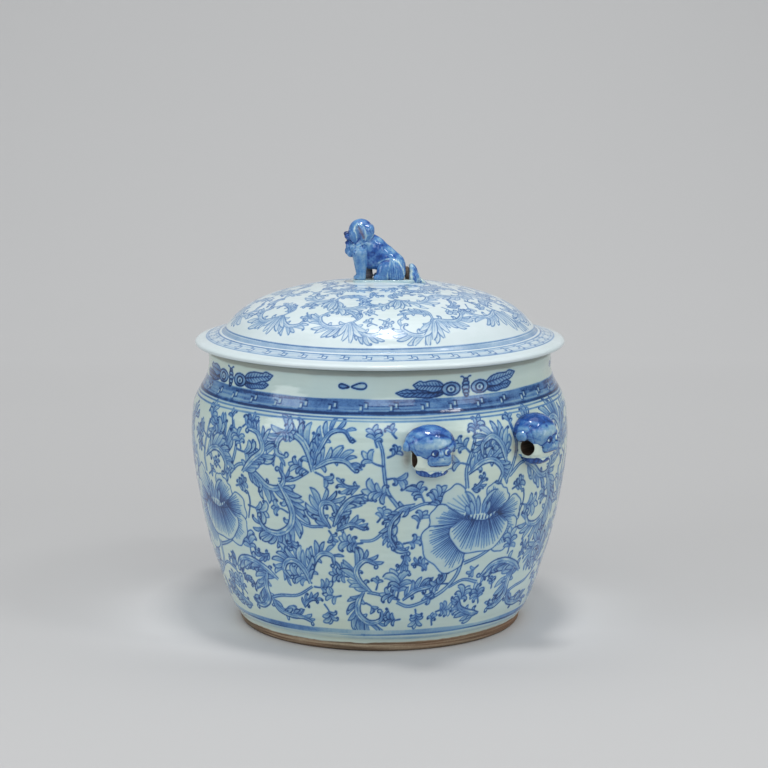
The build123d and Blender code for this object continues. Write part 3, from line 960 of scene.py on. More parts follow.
def bowl_mesh(sheet):
    wall = spline(BOWL_WALL, ROW_STEP)
    wall = wall[wall[:, 1] > 1.0]
    foot = spline(BOWL_FOOT, 0.55)
    path = np.vstack([BOWL_UNDER, foot, wall, spline(BOWL_RIM, 0.6)[1:],
                      spline(BOWL_INSIDE, 1.7)[1:]])
    first = len(BOWL_UNDER)
    end = first + len(foot) + len(wall)
    counts = [SECTIONS if first <= i < end + 2 else ring_count(r, SECTIONS // 2, 1.5)
              for i, (r, z) in enumerate(path)]
    angle, row, R, Z, faces = lathe(path, counts)
    outer = (row >= first) & (row < end + 1)
    x, y = R * np.cos(angle), R * np.sin(angle)
    azimuth = np.arctan2(x, -y)
    up_wall = np.interp(Z, BOWL_CURVE[:, 1], arc_length(BOWL_CURVE))
    painted = outer * unit((176.4 - up_wall) / 0.5)
    ink, wash = sheet.sample((azimuth * BELLY) % ROUND, up_wall)
    ink, wash = ink * painted, wash * painted

    def noise(around, height, seed):
        return value_noise(np.stack([np.cos(azimuth) * around, np.sin(azimuth) * around,
                                     height], 1), seed)
    # hand-thrown unevenness
    lump = noise(2.2, Z / 42, 3) * 0.20 + noise(6, Z / 12, 9) * 0.05
    turning = (0.05 * np.sin(Z * 2 * math.pi / 9.5 + 1.1 * np.sin(azimuth))
               + 0.03 * np.sin(Z * 2 * math.pi / 4.1 + 0.5 * np.cos(azimuth)))
    d = (lump + turning) * (unit((Z - 1.5) / 8) * unit((R - 8) / 20))
    # cobalt sits a hair above the body
    d = d + np.where(outer, 0.035 * unit(ink), 0)
    swell = 1 + d / np.maximum(R, 1)
    # bare clay: the foot, with an uneven glaze edge
    level = np.zeros_like(azimuth)
    edge = (6.0 + 0.35 * noise(9, level, 5) + 0.22 * noise(31, level, 6)
            - 0.9 * unit(-np.sin(azimuth - 0.5)))
    bare = np.where(outer, unit((edge - Z) / 0.5 + 0.5), 0)
    foot_ring = (R > 77.0) & (R < 87) & (Z < 6) & ~outer
    bare = np.maximum(bare, np.where(foot_ring, unit((5.2 - Z) / 0.6 + 0.5), 0))
    rim = (R < 104.0) & (R > 99.0) & (Z > 169.2)
    bare = np.maximum(bare, np.where(rim, 0.85, 0))
    # painted shadow on the wall beside each lug's openings: bare-clay brown with a darker core
    painted_shade_and_foot_darkening = np.zeros(len(x))
    for lug in LUG_AZIMUTH.values():
        away = (azimuth - math.radians(lug) + math.pi) % (2 * math.pi) - math.pi
        away = away * BELLY
        for side in (-1, 1):
            opening_shadow_brown = 0.62 * np.exp(-((away - side * 12.4) / 2.9) ** 2
                                  - ((Z - 120.4) / 4.8) ** 2) * outer
            opening_shadow_dark = 0.7 * np.exp(-((away - side * 11.4) / 2.2) ** 2
                                - ((Z - 120.4) / 4.4) ** 2) * outer
            bare = np.maximum(bare, opening_shadow_brown)
            painted_shade_and_foot_darkening = np.maximum(painted_shade_and_foot_darkening, opening_shadow_dark)
    # painted shadow under the lid's seat: darkened bare-clay brown at the top of the neck, faint
    # further down
    seat_shade_noise = noise(14, Z / 3, 15)
    bare = np.maximum(bare, (0.50 * unit((Z - 165.9 + 0.4 * seat_shade_noise) / 0.8)
                             + 0.04 * unit((Z - 160 + 2 * seat_shade_noise) / 6)) * outer)
    painted_shade_and_foot_darkening = np.maximum(painted_shade_and_foot_darkening, 0.8 * outer * (Z > 165.0))
    # bare clay darker towards the foot's bottom edge
    painted_shade_and_foot_darkening = np.maximum(painted_shade_and_foot_darkening, 0.55 * outer * unit((2.4 - Z) / 1.8))
    return make_mesh("bowl_body", np.stack([x * swell, y * swell, Z], 1) / 1000, faces,
                     ink=ink, wash=wash, bare=bare, cav=-painted_shade_and_foot_darkening)


def lid_mesh(sheet):
    outside = np.vstack([spline(DOME, ROW_STEP), spline(FLANGE, ROW_STEP)[1:],
                         spline(LIP, 0.42)[1:]])
    path = np.vstack([outside, LID_UNDER, spline(DOME_INSIDE, 1.8)[1:]])
    n_top = len(outside)
    counts = []
    for i, (r, z) in enumerate(path):
        if i >= n_top:
            counts.append(ring_count(r, 416, 1.5))
        else:
            counts.append(SECTIONS if r > 66 else ring_count(r, SECTIONS, LID_CELL))
    angle, row, R, Z, faces = lathe(path, counts)
    top = row < n_top
    along = np.where(top, arc_length(outside)[np.minimum(row, n_top - 1)], 0)
    x, y = R * np.cos(angle), R * np.sin(angle)
    azimuth = np.arctan2(x, -y)
    ink, wash = sheet.sample(along * np.sin(azimuth), -along * np.cos(azimuth))
    ink, wash = ink * top, wash * top
    # hand-thrown unevenness, clear of the finial's seat and the lip
    lump = (value_noise(np.stack([x / 34, y / 34, Z / 30], 1), 13) * 0.16
            + value_noise(np.stack([x / 11, y / 11, Z / 11], 1), 19) * 0.035)
    turning = 0.035 * np.sin(R * 2 * math.pi / 7.3) + 0.02 * np.sin(R * 2 * math.pi / 3.1)
    keep = unit((R - 26) / 10) * unit((Z - 171.5) / 3)
    dz = (lump + turning) * keep * top + 0.03 * unit(ink) * top
    bare = np.where(top, 0, unit(1 - np.abs(R - 97.5) / 3.6) * (Z < 175))
    return make_mesh("lid_body", np.stack([x, y, Z + dz], 1) / 1000, [f[:, ::-1] for f in faces],
                     ink=ink, wash=wash, bare=bare, cav=np.zeros(len(x)))


# ---------------------------------------------------------------- clay: solids as distance fields
def ellipsoid(P, c, r, turn=0.0):
    """turn is in degrees about y."""
    x, y, z = P[0] - c[0], P[1] - c[1], P[2] - c[2]
    if turn:
        a = math.radians(turn)
        x, z = x * math.cos(a) - z * math.sin(a), x * math.sin(a) + z * math.cos(a)
    k0 = np.sqrt((x / r[0]) ** 2 + (y / r[1]) ** 2 + (z / r[2]) ** 2) + 1e-6
    k1 = np.sqrt((x / r[0] ** 2) ** 2 + (y / r[1] ** 2) ** 2 + (z / r[2] ** 2) ** 2) + 1e-6
    return k0 * (k0 - 1) / k1


def segment_distance(P, a, b):
    ax, ay, az = a
    dx, dy, dz = b[0] - ax, b[1] - ay, b[2] - az
    square = dx * dx + dy * dy + dz * dz
    x, y, z = P[0] - ax, P[1] - ay, P[2] - az
    t = unit((x * dx + y * dy + z * dz) / square)
    return np.sqrt((x - t * dx) ** 2 + (y - t * dy) ** 2 + (z - t * dz) ** 2), t


def capsule(P, a, b, ra, rb):
    d, t = segment_distance(P, a, b)
    return d - (ra + (rb - ra) * t)


def rounded_box(P, c, half, r):
    q = [np.abs(P[i] - c[i]) - (half[i] - r) for i in range(3)]
    out = np.sqrt(np.maximum(q[0], 0) ** 2 + np.maximum(q[1], 0) ** 2 + np.maximum(q[2], 0) ** 2)
    return out + np.minimum(np.maximum(q[0], np.maximum(q[1], q[2])), 0) - r


def smin(a, b, k):
    h = unit(0.5 + 0.5 * (b - a) / k)
    return b + (a - b) * h - k * h * (1 - h)


def smax(a, b, k):
    return -smin(-a, -b, k)


def join(d, *parts):
    """Adds (solid, blend width) pairs one after the other."""
    for part, blend in parts:
        d = smin(d, part, blend)
    return d


def path_distance(P, points):
    return reduce(np.minimum, [segment_distance(P, a, b)[0]
                               for a, b in zip(points[:-1], points[1:])])


def press(d, P, lines):
    """Presses (width, depth, points) lines into the clay."""
    for width, depth, points in lines:
        d = d + depth * np.exp(-(path_distance(P, points) / width) ** 2)
    return d


def blob(a, b, ra, rb=None):
    return np.exp(-(a / ra) ** 2 - (b / (rb or ra)) ** 2)


def part_picker(parts):
    """A function that masks the points lying nearest to the named parts."""
    keys = list(parts)
    own = np.stack(list(parts.values())).argmin(0)
    return lambda *names: np.isin(own, [keys.index(n) for n in names])


def nets(field, low, high):
    """Surface of field = 0 as vertices and quads (naive surface nets)."""
    axes = [np.arange(low[i], high[i] + VOXEL, VOXEL, dtype=np.float32) for i in range(3)]
    P = np.meshgrid(*axes, indexing="ij", sparse=True)
    P = [np.broadcast_to(p, [len(a) for a in axes]) for p in P]
    D = np.asarray(field(P), np.float32)
    inside = D < 0
    corners = [(a, b, c) for a in (0, 1) for b in (0, 1) for c in (0, 1)]
    filled = np.zeros([n - 1 for n in D.shape], np.int8)
    for corner in corners:
        filled += inside[tuple(slice(o, n - 1 + o) for o, n in zip(corner, D.shape))]
    ii, jj, kk = np.nonzero((filled > 0) & (filled < 8))
    index = np.full(filled.shape, -1, np.int64)
    index[ii, jj, kk] = np.arange(len(ii))
    # each vertex is the mean of the crossings on its cell's edges
    pos = np.zeros((len(ii), 3), np.float64)
    crossings = np.zeros(len(ii))
    for p in corners:
        for axis in range(3):
            if p[axis]:
                continue
            q = list(p)
            q[axis] = 1
            va = D[ii + p[0], jj + p[1], kk + p[2]]
            vb = D[ii + q[0], jj + q[1], kk + q[2]]
            m = (va < 0) != (vb < 0)
            t = np.where(m, va / np.where(m, va - vb, 1), 0)
            e = np.stack([np.full(len(ii), float(v)) for v in p], 1)
            e[:, axis] += t
            pos += e * m[:, None]
            crossings += m
    pos /= crossings[:, None]
    co = np.stack([axes[n][cell] + pos[:, n] * VOXEL for n, cell in enumerate((ii, jj, kk))], 1)
    quads = []
    for a in range(3):
        b, d = (a + 1) % 3, (a + 2) % 3
        near, far = [slice(None)] * 3, [slice(None)] * 3
        near[a], far[a] = slice(0, -1), slice(1, None)
        start = inside[tuple(near)]
        e = np.array(np.nonzero(start != inside[tuple(far)]))
        ok = (e[b] > 0) & (e[d] > 0) & (e[b] < filled.shape[b]) & (e[d] < filled.shape[d])
        e = e[:, ok]
        outwards = start[tuple(e)]

        def cell(back_b, back_d):
            g = e.copy()
            g[b] -= back_b
            g[d] -= back_d
            return index[tuple(g)]
        q = np.stack([cell(1, 1), cell(0, 1), cell(0, 0), cell(1, 0)], 1)
        q[~outwards] = q[~outwards][:, ::-1]
        quads.append(q)
    quads = np.concatenate(quads)
    return co, quads[(quads >= 0).all(1)]


def relief_of(co, quads):
    """Height of each vertex over the smoothed surface in mm, and the smoothing function."""
    n = len(co)
    e = np.concatenate([quads[:, [k, (k + 1) % 4]] for k in range(4)])
    a = np.concatenate([e[:, 0], e[:, 1]])
    b = np.concatenate([e[:, 1], e[:, 0]])
    degree = np.bincount(a, minlength=n)[:, None] + 1e-9
    normal = np.zeros((n, 3))
    v = np.cross(co[quads[:, 2]] - co[quads[:, 0]], co[quads[:, 3]] - co[quads[:, 1]])
    for k in range(4):
        for i in range(3):
            normal[:, i] += np.bincount(quads[:, k], v[:, i], minlength=n)
    normal /= np.linalg.norm(normal, axis=1)[:, None] + 1e-12

    def smooth(p):
        out = np.zeros_like(p)
        for i in range(p.shape[1]):
            out[:, i] = np.bincount(a, p[b, i], minlength=n)
        return out / degree
    p = co.copy()
    for _ in range(5):
        p = 0.5 * p + 0.5 * smooth(p)
    k = ((co - p) * normal).sum(1)[:, None]
    for _ in range(2):
        k = 0.5 * k + 0.5 * smooth(k)
    return k[:, 0], smooth


def sculpt(field, low, high, paint):
    """Vertices, quads, painted attributes and relief (-1..1) of a modelled piece."""
    co, quads = nets(field, low, high)
    relief, smooth = relief_of(co, quads)
    tones = np.stack(paint(co, relief), 1)
    tones = 0.5 * tones + 0.5 * smooth(tones)
    coats = dict(zip(("ink", "wash", "bare"), tones.T))
    return co, quads, coats, np.clip(relief / 0.1, -1, 1)


def clay(name, field, low, high, paint):
    co, quads, coats, relief = sculpt(field, low, high, paint)
    # every patch of bare clay is drawn in painted shade, darker still in the hollows
    relief = np.where(coats["bare"] > 0.3, np.minimum(relief, -0.45), relief)
    return make_mesh(name, co / 1000, [quads], **coats, cav=relief)


# ---------------------------------------------------------------- the lion-mask lugs
# Coordinates: out from the belly radius, along towards +azimuth, z up from LUG_Z.
def bore_distance(out, z):
    return np.hypot(out - BORE[0], z - BORE[1])


def lug_parts(P):
    out, along, z = P
    f = FACE
    hem = (-5.2 + 8.2 * np.clip(np.abs(along - 1.0) / 15.0, 0, 1.1) ** 1.7
           + 0.5 * np.sin(along * 1.5 + 0.6))
    return {
        "helmet": smax(ellipsoid(P, (2.6, -0.3, 4.3), (12.2, 14.7, 10.9)), (hem - z) * 0.85, 0.7),
        "jaw": smin(rounded_box(P, (2.6, 0.4, -4.2), (8.8, 10.8, 6.0), 3.4),
                    ellipsoid(P, (4.6, 0.6, -6.0), (7.2, 10.9, 8.2)), 1.5),
        "chin": ellipsoid(P, (4.2, 0.6, -11.2), (7.2, 9.4, 3.6)),
        "muzzle": rounded_box(P, (9.6, f, -3.2), (5.0, 6.9, 3.9), 2.9),
        "nose": ellipsoid(P, (13.6, f, 0.2), (1.8, 1.9, 1.7)),
        "brow": ellipsoid(P, (9.2, f - 0.3, 3.4), (4.8, 9.2, 3.8)),
        "eyes": np.minimum(ellipsoid(P, (12.9, f - 3.7, 0.9), (1.8, 1.75, 1.55)),
                           ellipsoid(P, (12.9, f + 3.7, 1.1), (1.8, 1.7, 1.5))),
        "ears": np.minimum(ellipsoid(P, (4.4, -14.2, 3.4), (3.6, 2.0, 3.2)),
                           ellipsoid(P, (4.2, 13.4, 3.2), (3.2, 1.3, 3.0)))}


def lug_field(P):
    out, along, z = P
    q = lug_parts(P)
    f = FACE
    d = join(q["jaw"], (q["chin"], 0.7), (q["helmet"], 0.4), (q["brow"], 2.2),
             (q["muzzle"], 0.9), (q["nose"], 0.9), (q["eyes"], 0.4), (q["ears"], 0.7))
    # locks pressed into the helmet, brow line, nostrils, lips, beard
    d = press(d, P, [(0.7, 0.45, [(6.5, top, 11.0), (10.2, top * 0.95, 5.4), (10.6, foot, 0.2)])
                     for top, foot in ((-12.4, -9.8), (12.6, 11.0))])
    d = press(d, P, [
        (0.8, 0.55, [(8.0, -10.8, 9.2), (12.2, -6.2, 5.4), (13.6, -1.2, 3.9), (14.2, 3.2, 3.1),
                     (13.2, 8.0, 4.0), (9.8, 12.0, 6.8)]),
        (0.5, 0.35, [(14.6, f - 0.1, 2.6), (15.1, f, 0.6)]),
        (0.5, 0.6, [(15.0, f - 1.2, -1.6), (14.9, f - 2.2, -2.5)]),
        (0.5, 0.6, [(15.0, f + 1.2, -1.6), (14.9, f + 2.2, -2.5)]),
        (0.5, 0.4, [(11.6, f - 7.0, -3.4), (14.4, f - 4.4, -5.4), (14.8, f, -4.8),
                    (14.4, f + 4.4, -5.4), (11.6, f + 7.0, -3.4)]),
        (0.8, 0.55, [(9.6, -9.6, -8.6), (12.0, -3.8, -9.6), (12.2, 3.6, -9.4),
                     (9.6, 10.0, -8.2)])])
    for k in range(6):
        t = -7.0 + 2.8 * k
        d = press(d, P, [(0.5, 0.25, [(10.4, t, -10.8), (8.0, t * 0.9, -14.6)])])
    # press-moulded unevenness
    d = (d + 0.07 * np.sin(along * 0.7 + z * 0.4) * np.sin(z * 0.6 + out)
         + 0.03 * np.sin(along * 1.9 - z * 1.3))
    d = smax(d, BORE_RADIUS - bore_distance(out, z), 0.5)
    # cut to the wall, sunk slightly into it
    wall = np.interp(z + LUG_Z, BOWL_CURVE[:, 1], BOWL_CURVE[:, 0])
    return np.maximum(d, wall - 0.6 - np.hypot(BELLY + out, along))


def lug_paint(co, relief):
    o, t, z = co.T
    parts = lug_parts(co.T)
    on = part_picker(parts)
    f = FACE
    mottle = value_noise(co / 2.4, 41)
    wash = np.full(len(co), 0.1)
    # helmet: a deep band over the top and towards +azimuth, a pale brow that is partly a painted
    # highlight, slate flaps below it
    tone = 0.57 + 0.32 * unit((z - 8.5) / 4) - 0.36 * blob(t - 1.0, z - 5.6, 9.0, 3.0)
    tone += 0.10 * mottle
    tone += 0.42 * unit((t - 9.6) / 2.2) + 0.10 * unit((-t - 9) / 3)
    tone += 0.16 * np.sin(z * 1.25 + 0.34 * t + 0.8 * mottle) * unit((z - 6.5) / 2)
    wash = np.where(on("helmet"), tone, wash)
    spot = 0.9 * blob(t + 2.2, z - 9.3, 1.1, 0.9)
    spot += 0.50 * np.exp(-((z - 11.2 + 0.03 * t * t) / 0.6) ** 2)
    spot += 0.6 * unit((2.2 - o) / 1.0) * (z > 2)
    spot += 0.5 * np.exp(-((t - 11.2) / 0.8) ** 2) * (z > 0) * (z < 10)
    spot += 0.22 * (np.sin(z * 2.6 + t * 1.1) > 0.5) * (t < -7) * (z < 4)
    ink = np.where(on("helmet"), spot, 0.0)
    # brow: pale in the middle, partly a painted highlight
    wash = np.where(on("brow"), 0.58 - 0.40 * blob(t - f, z - 5.4, 5.0, 1.3) + 0.14 * mottle, wash)
    # muzzle and nose: deeper below, with a painted highlight in the middle of the muzzle
    wash = np.where(on("muzzle", "nose"),
                    0.56 + 0.30 * unit((-5.4 - z) / 1.2)
                    - 0.38 * blob(t - f - 1.0, z + 3.0, 3.0, 1.4) + 0.12 * mottle, wash)
    ink = np.where(on("muzzle") & (z < -6.3), 0.8, ink)
    # a line where two parts meet
    nearest = np.sort(np.stack(list(parts.values())), axis=0)
    seam = unit(1 - np.abs(nearest[1] - nearest[0]) / 0.55)
    ink = np.maximum(ink, 0.55 * on("helmet", "muzzle", "brow", "ears") * seam)
    wash = np.where(on("ears"), 0.5, wash)
    # eyes: white with a dark ring and pupil
    for side, eye_z in ((-1, 0.9), (1, 1.1)):
        eye_t = t - (f + side * 3.7)
        eye = on("eyes") & (np.sign(t - f) == side)
        wash = np.where(eye, 0.0, wash)
        pupil = np.where(np.hypot(eye_t - 0.75, z - eye_z) < 1.2, 1.0, 0)
        ink = np.where(eye, pupil, ink)
        around = ~eye & (np.hypot(eye_t - 0.3, z - eye_z) < 2.3) & (o > 10.5)
        ink = np.where(around, np.maximum(ink, 0.8), ink)
    # jaw: bare cream with a blue scalloped beard below
    jaw = on("jaw", "chin")
    beard = (-12.3 + 1.5 * np.abs(np.sin(t * 0.42 + 0.9)) - 0.5 * unit((t - 2) / 5)
             + 0.022 * t * t)
    wash = np.where(jaw, np.where(z < beard, 0.78 + 0.2 * mottle, 0.0), wash)
    hairs = np.where(z < beard, 0.6 * (np.sin(t * 3.3 + z * 0.6) > 0.1), 0)
    ink = np.where(jaw, np.where(np.abs(z - beard) < 0.4, 0.9, 0) + hairs, ink)
    ink = np.where(jaw & (o < 1.6) & (z < -8), 0.55, ink)
    # glaze runs thin on edges and pools in hollows; the whiter edges are partly painted highlight
    # and the darker hollows partly painted shade
    thin_glaze_and_highlight = unit((relief - 0.02) / 0.09) * ~on("eyes")
    pool = unit(-relief / 0.09)
    wash = wash * (1 - 0.92 * thin_glaze_and_highlight) + 0.3 * pool * ~on("jaw")
    ink = ink * (1 - 0.85 * thin_glaze_and_highlight) + 1.25 * pool * np.where(on("jaw"), 0.25, 1)
    bare = unit((4.95 - bore_distance(o, z)) / 0.3)
    return unit(ink), np.clip(wash, 0, 1.15), bare


def build_lugs():
    """One lug is modelled and set at the four azimuths; returns (node, object) pairs."""
    co, quads, coats, relief = sculpt(lug_field, (-4.5, -18.5, -18), (17.5, 18.5, 18), lug_paint)
    out, along, z = co.T
    # painted shade inside the bore, darkest away from its openings
    inner = -0.35 - 0.65 * unit((13.5 - np.abs(along)) / 2.5)
    cav = np.where(bore_distance(out, z) < 4.9, inner, relief)
    lugs = []
    for node, degrees in LUG_AZIMUTH.items():
        a = math.radians(degrees)
        r = BELLY + out
        x = r * math.sin(a) + along * math.cos(a)
        y = -r * math.cos(a) + along * math.sin(a)
        ob = make_mesh(node.replace("lion_mask_", "mask_"),
                       np.stack([x, y, z + LUG_Z], 1) / 1000, [quads], **coats, cav=cav)
        lugs.append((node, ob))
    return lugs


# ---------------------------------------------------------------- the lion-dog on the lid
# It faces -X. M mirrors points across its middle plane.
CHEST_CURLS = [((-17.6, 3.9, 225.2), 2.3), ((-14.0, 5.4, 225.2), 2.4), ((-10.0, 5.9, 228.2), 2.4),
               ((-18.9, 1.7, 226.3), 2.3), ((-9.2, 6.0, 231.4), 2.2), ((-16.0, 4.6, 229.0), 2.3),
               ((-18.6, 2.4, 229.6), 2.0), ((-12.4, 5.6, 229.6), 2.4)]       # centre, radius


def lion_parts(P):
    x, y, z = P
    M = (x, np.abs(y), z)
    return {
        "head": ellipsoid(P, (-11.4, 0, 238.6), (7.5, 7.1, 7.3)),
        "cheek": ellipsoid(M, (-15.4, 4.0, 235.6), (3.1, 2.9, 4.5), -12),
        "lobe": ellipsoid(M, (-7.4, 3.9, 237.4), (4.0, 3.9, 5.6), 22),
        "low_lobe": ellipsoid(M, (-8.9, 4.6, 236.0), (2.4, 2.9, 3.2)),
        "ear": capsule(M, (-12.9, 5.5, 241.6), (-9.4, 6.1, 234.4), 1.5, 2.0),
        "muzzle": ellipsoid(P, (-18.0, 0, 234.9), (3.4, 3.7, 2.5)),
        "nose": ellipsoid(P, (-20.2, 0, 236.8), (1.7, 2.0, 1.5)),
        "jaw": ellipsoid(P, (-17.9, 0, 231.2), (3.2, 3.6, 1.9)),
        "eye": ellipsoid(M, (-17.9, 3.2, 238.4), (1.2, 1.1, 1.1)),
        "bib": ellipsoid(P, (-15.4, 0, 227.6), (5.4, 6.4, 4.6)),
        "curls": reduce(np.minimum, [ellipsoid(M, c, (r, r * 0.8, r)) for c, r in CHEST_CURLS]),
        "neck": capsule(P, (-9.5, 0, 232.0), (-3.0, 0, 228.5), 7.0, 6.4),
        "trunk": capsule((x, y * 1.12, z), (-4.6, 0, 226.2), (7.4, 0, 217.8), 8.2, 7.6),
        "belly": ellipsoid(P, (-5.6, 0, 220.6), (5.2, 6.0, 5.4), 30),
        "rump": ellipsoid(P, (8.3, 0, 216.2), (7.2, 7.5, 7.5)),
        "spine": np.minimum(capsule(P, (-3.5, 0, 232.4), (5.4, 0, 226.6), 2.6, 2.4),
                            capsule(P, (5.4, 0, 226.6), (11.0, 0, 220.6), 2.4, 2.2)),
        "fore": np.minimum(capsule(P, (-12.0, -4.2, 225.2), (-11.2, -4.9, 211.0), 4.9, 2.7),
                           capsule(P, (-9.4, 4.4, 225.4), (-6.6, 4.8, 211.0), 3.8, 2.4)),
        "paw": np.minimum(ellipsoid(P, (-12.4, -4.9, 210.8), (3.7, 2.7, 1.9)),
                          ellipsoid(P, (-8.0, 4.8, 210.8), (3.6, 2.6, 1.9))),
        "thigh": ellipsoid(M, (3.0, 5.0, 214.6), (4.9, 3.9, 7.0), 14),
        "haunch": ellipsoid(M, (9.4, 4.9, 214.8), (6.2, 4.3, 7.4), -16),
        "foot": ellipsoid(M, (0.0, 5.9, 210.7), (4.0, 2.5, 2.1))}


def lion_field(P):
    x, y, z = P
    q = lion_parts(P)
    M = (x, np.abs(y), z)
    body = join(q["trunk"], (q["rump"], 2.5), (q["belly"], 2.5), (q["spine"], 2.2),
                (q["neck"], 2.2), (q["fore"], 1.4), (q["paw"], 0.9), (q["foot"], 0.5),
                (smin(q["thigh"], q["haunch"], 0.6), 0.7))
    face = join(q["muzzle"], (q["nose"], 0.6), (q["jaw"], 0.4))
    head = join(q["head"], (q["lobe"], 1.4), (q["low_lobe"], 0.9), (q["cheek"], 1.0),
                (q["ear"], 0.45), (face, 0.9), (q["eye"], 0.3))
    d = join(body, (smin(q["bib"], q["curls"], 0.9), 0.9), (head, 0.7))
    # head: ear slit, mane
    d = press(d, M, [
        (0.62, 1.25, [(-12.9, 7.0, 241.6), (-11.2, 8.0, 238.0), (-9.7, 8.4, 234.8)]),
        (0.6, 0.7, [(-17.6, 3.6, 231.9), (-15.4, 6.4, 231.0), (-12.2, 7.6, 231.2),
                    (-9.4, 7.6, 232.8), (-6.2, 7.2, 232.9)]),
        (0.5, 0.4, [(-7.6, 7.0, 242.6), (-5.6, 7.2, 239.2), (-5.0, 7.0, 235.4)])])
    # open rings on the curls
    for cx, cz in ((-15.6, 226.4), (-12.2, 227.0), (-18.2, 227.6), (-9.4, 229.8)):
        d = press(d, M, [(0.4, 0.5, [(cx + 1.3 * math.cos(a), 7.4, cz + 1.2 * math.sin(a))
                                     for a in (0.4, 1.6, 2.8, 4.0, 5.0)])])
    # cheek and mouth
    d = press(d, M, [
        (0.55, 0.6, [(-16.6, 7.0, 238.6), (-15.0, 7.4, 236.0), (-14.2, 7.2, 233.0)]),
        (0.5, 0.4, [(-18.0, 6.2, 237.0), (-16.9, 6.8, 234.6), (-16.4, 6.6, 232.6)]),
        (0.55, 0.7, [(-21.2, 0, 233.6), (-19.6, 3.2, 233.3), (-17.0, 4.6, 233.2)])])
    # locks behind the ear
    d = press(d, M, [(0.45, 0.35, [(-9.0 + 2.2 * k, 6.5, 241.0 - 1.0 * k),
                                   (-6.4 + 1.7 * k, 8.0, 237.0 - 0.6 * k),
                                   (-6.8 + 1.2 * k, 7.6, 233.6)]) for k in range(3)])
    # flank behind the foreleg, and the line between thigh and haunch
    d = press(d, M, [
        (0.8, 0.55, [(-3.2, 7.6, 231.6), (-6.0, 8.0, 227.0), (-7.6, 7.6, 221.8),
                     (-7.4, 6.6, 217.4)]),
        (0.6, 0.9, [(6.9, 8.6, 222.0), (5.8, 9.2, 218.0), (5.0, 9.2, 213.6), (4.7, 8.4, 209.8)])])
    # haunch tufts
    for k, (xa, xb) in enumerate(((8.8, 8.0), (10.4, 9.9), (11.9, 11.7), (13.3, 13.4),
                                  (14.5, 14.8))):
        d = press(d, M, [(0.42, 0.18, [(xa, 8.9 - 0.15 * k, 221.4 - 0.9 * k),
                                       (xb, 9.2 - 0.3 * k, 215.6),
                                       (xb - 0.5, 8.6 - 0.3 * k, 210.8)])])
    # toes of the hind feet and of the forepaw on the -Y side
    for k in range(3):
        d = press(d, M, [(0.35, 0.35, [(-3.4 + 1.5 * k, 7.4, 211.6),
                                       (-3.8 + 1.5 * k, 8.2, 210.0)])])
        d = press(d, P, [(0.4, 0.35, [(-15.6, -6.2 + 1.3 * k, 211.4),
                                      (-16.2, -6.2 + 1.3 * k, 209.8)])])
    # ribs
    for k in range(4):
        rib = -1.0 + 3.6 * k
        d = press(d, M, [(0.9, 0.22, [(rib, 4.4, 231.6 - 1.9 * k),
                                      (rib + 0.8, 7.0, 227.6 - 1.9 * k),
                                      (rib + 0.3, 7.8, 223.4 - 1.4 * k)])])
    return np.maximum(d, 209.15 - z)


# Painted rings on the flank: x, z, radius
SPOTS = [(0.6, 222.6, 1.2), (4.4, 222.2, 1.3), (8.4, 222.4, 1.1), (-2.6, 219.8, 1.2),
         (3.2, 227.6, 1.3), (8.6, 225.2, 1.2), (-4.4, 225.2, 1.2)]
HIND_PARTS = ("thigh", "haunch", "trunk", "rump")
HEAD_PARTS = ("head", "ear", "lobe", "low_lobe", "cheek")
# Lines where the glaze breaks white, partly painted highlights: parts, width, strength, (x, z)
# points
WHITE_LINES = [
    (HIND_PARTS, 0.62, 1.0, [(-1.0, 219.6), (2.4, 221.6), (6.9, 222.4), (11.2, 220.2),
                             (14.0, 216.4), (14.8, 212.6)]),
    (HIND_PARTS, 0.5, 0.9, [(6.9, 222.0), (5.4, 217.0), (4.6, 212.0), (5.0, 209.6)]),
    (("haunch",), 0.4, 0.6, [(7.6, 221.0), (9.8, 215.4), (9.4, 211.0)]),
    (HEAD_PARTS, 0.62, 1.0, [(-15.6, 238.8), (-15.0, 241.6), (-13.2, 243.4), (-11.2, 243.0),
                             (-9.6, 241.0)]),
    (HEAD_PARTS, 0.55, 0.9, [(-15.4, 239.4), (-14.0, 236.4), (-13.4, 233.6)]),
    (HEAD_PARTS, 0.6, 0.8, [(-9.4, 240.6), (-8.0, 236.4), (-8.6, 233.2)]),
    (HEAD_PARTS + ("neck",), 0.6, 0.8, [(-11.8, 232.4), (-9.2, 232.0), (-5.6, 233.6),
                                        (-3.6, 236.8)]),
    (None, 0.5, 0.6, [(-16.8, 231.0), (-13.6, 229.6), (-10.4, 231.0)])]


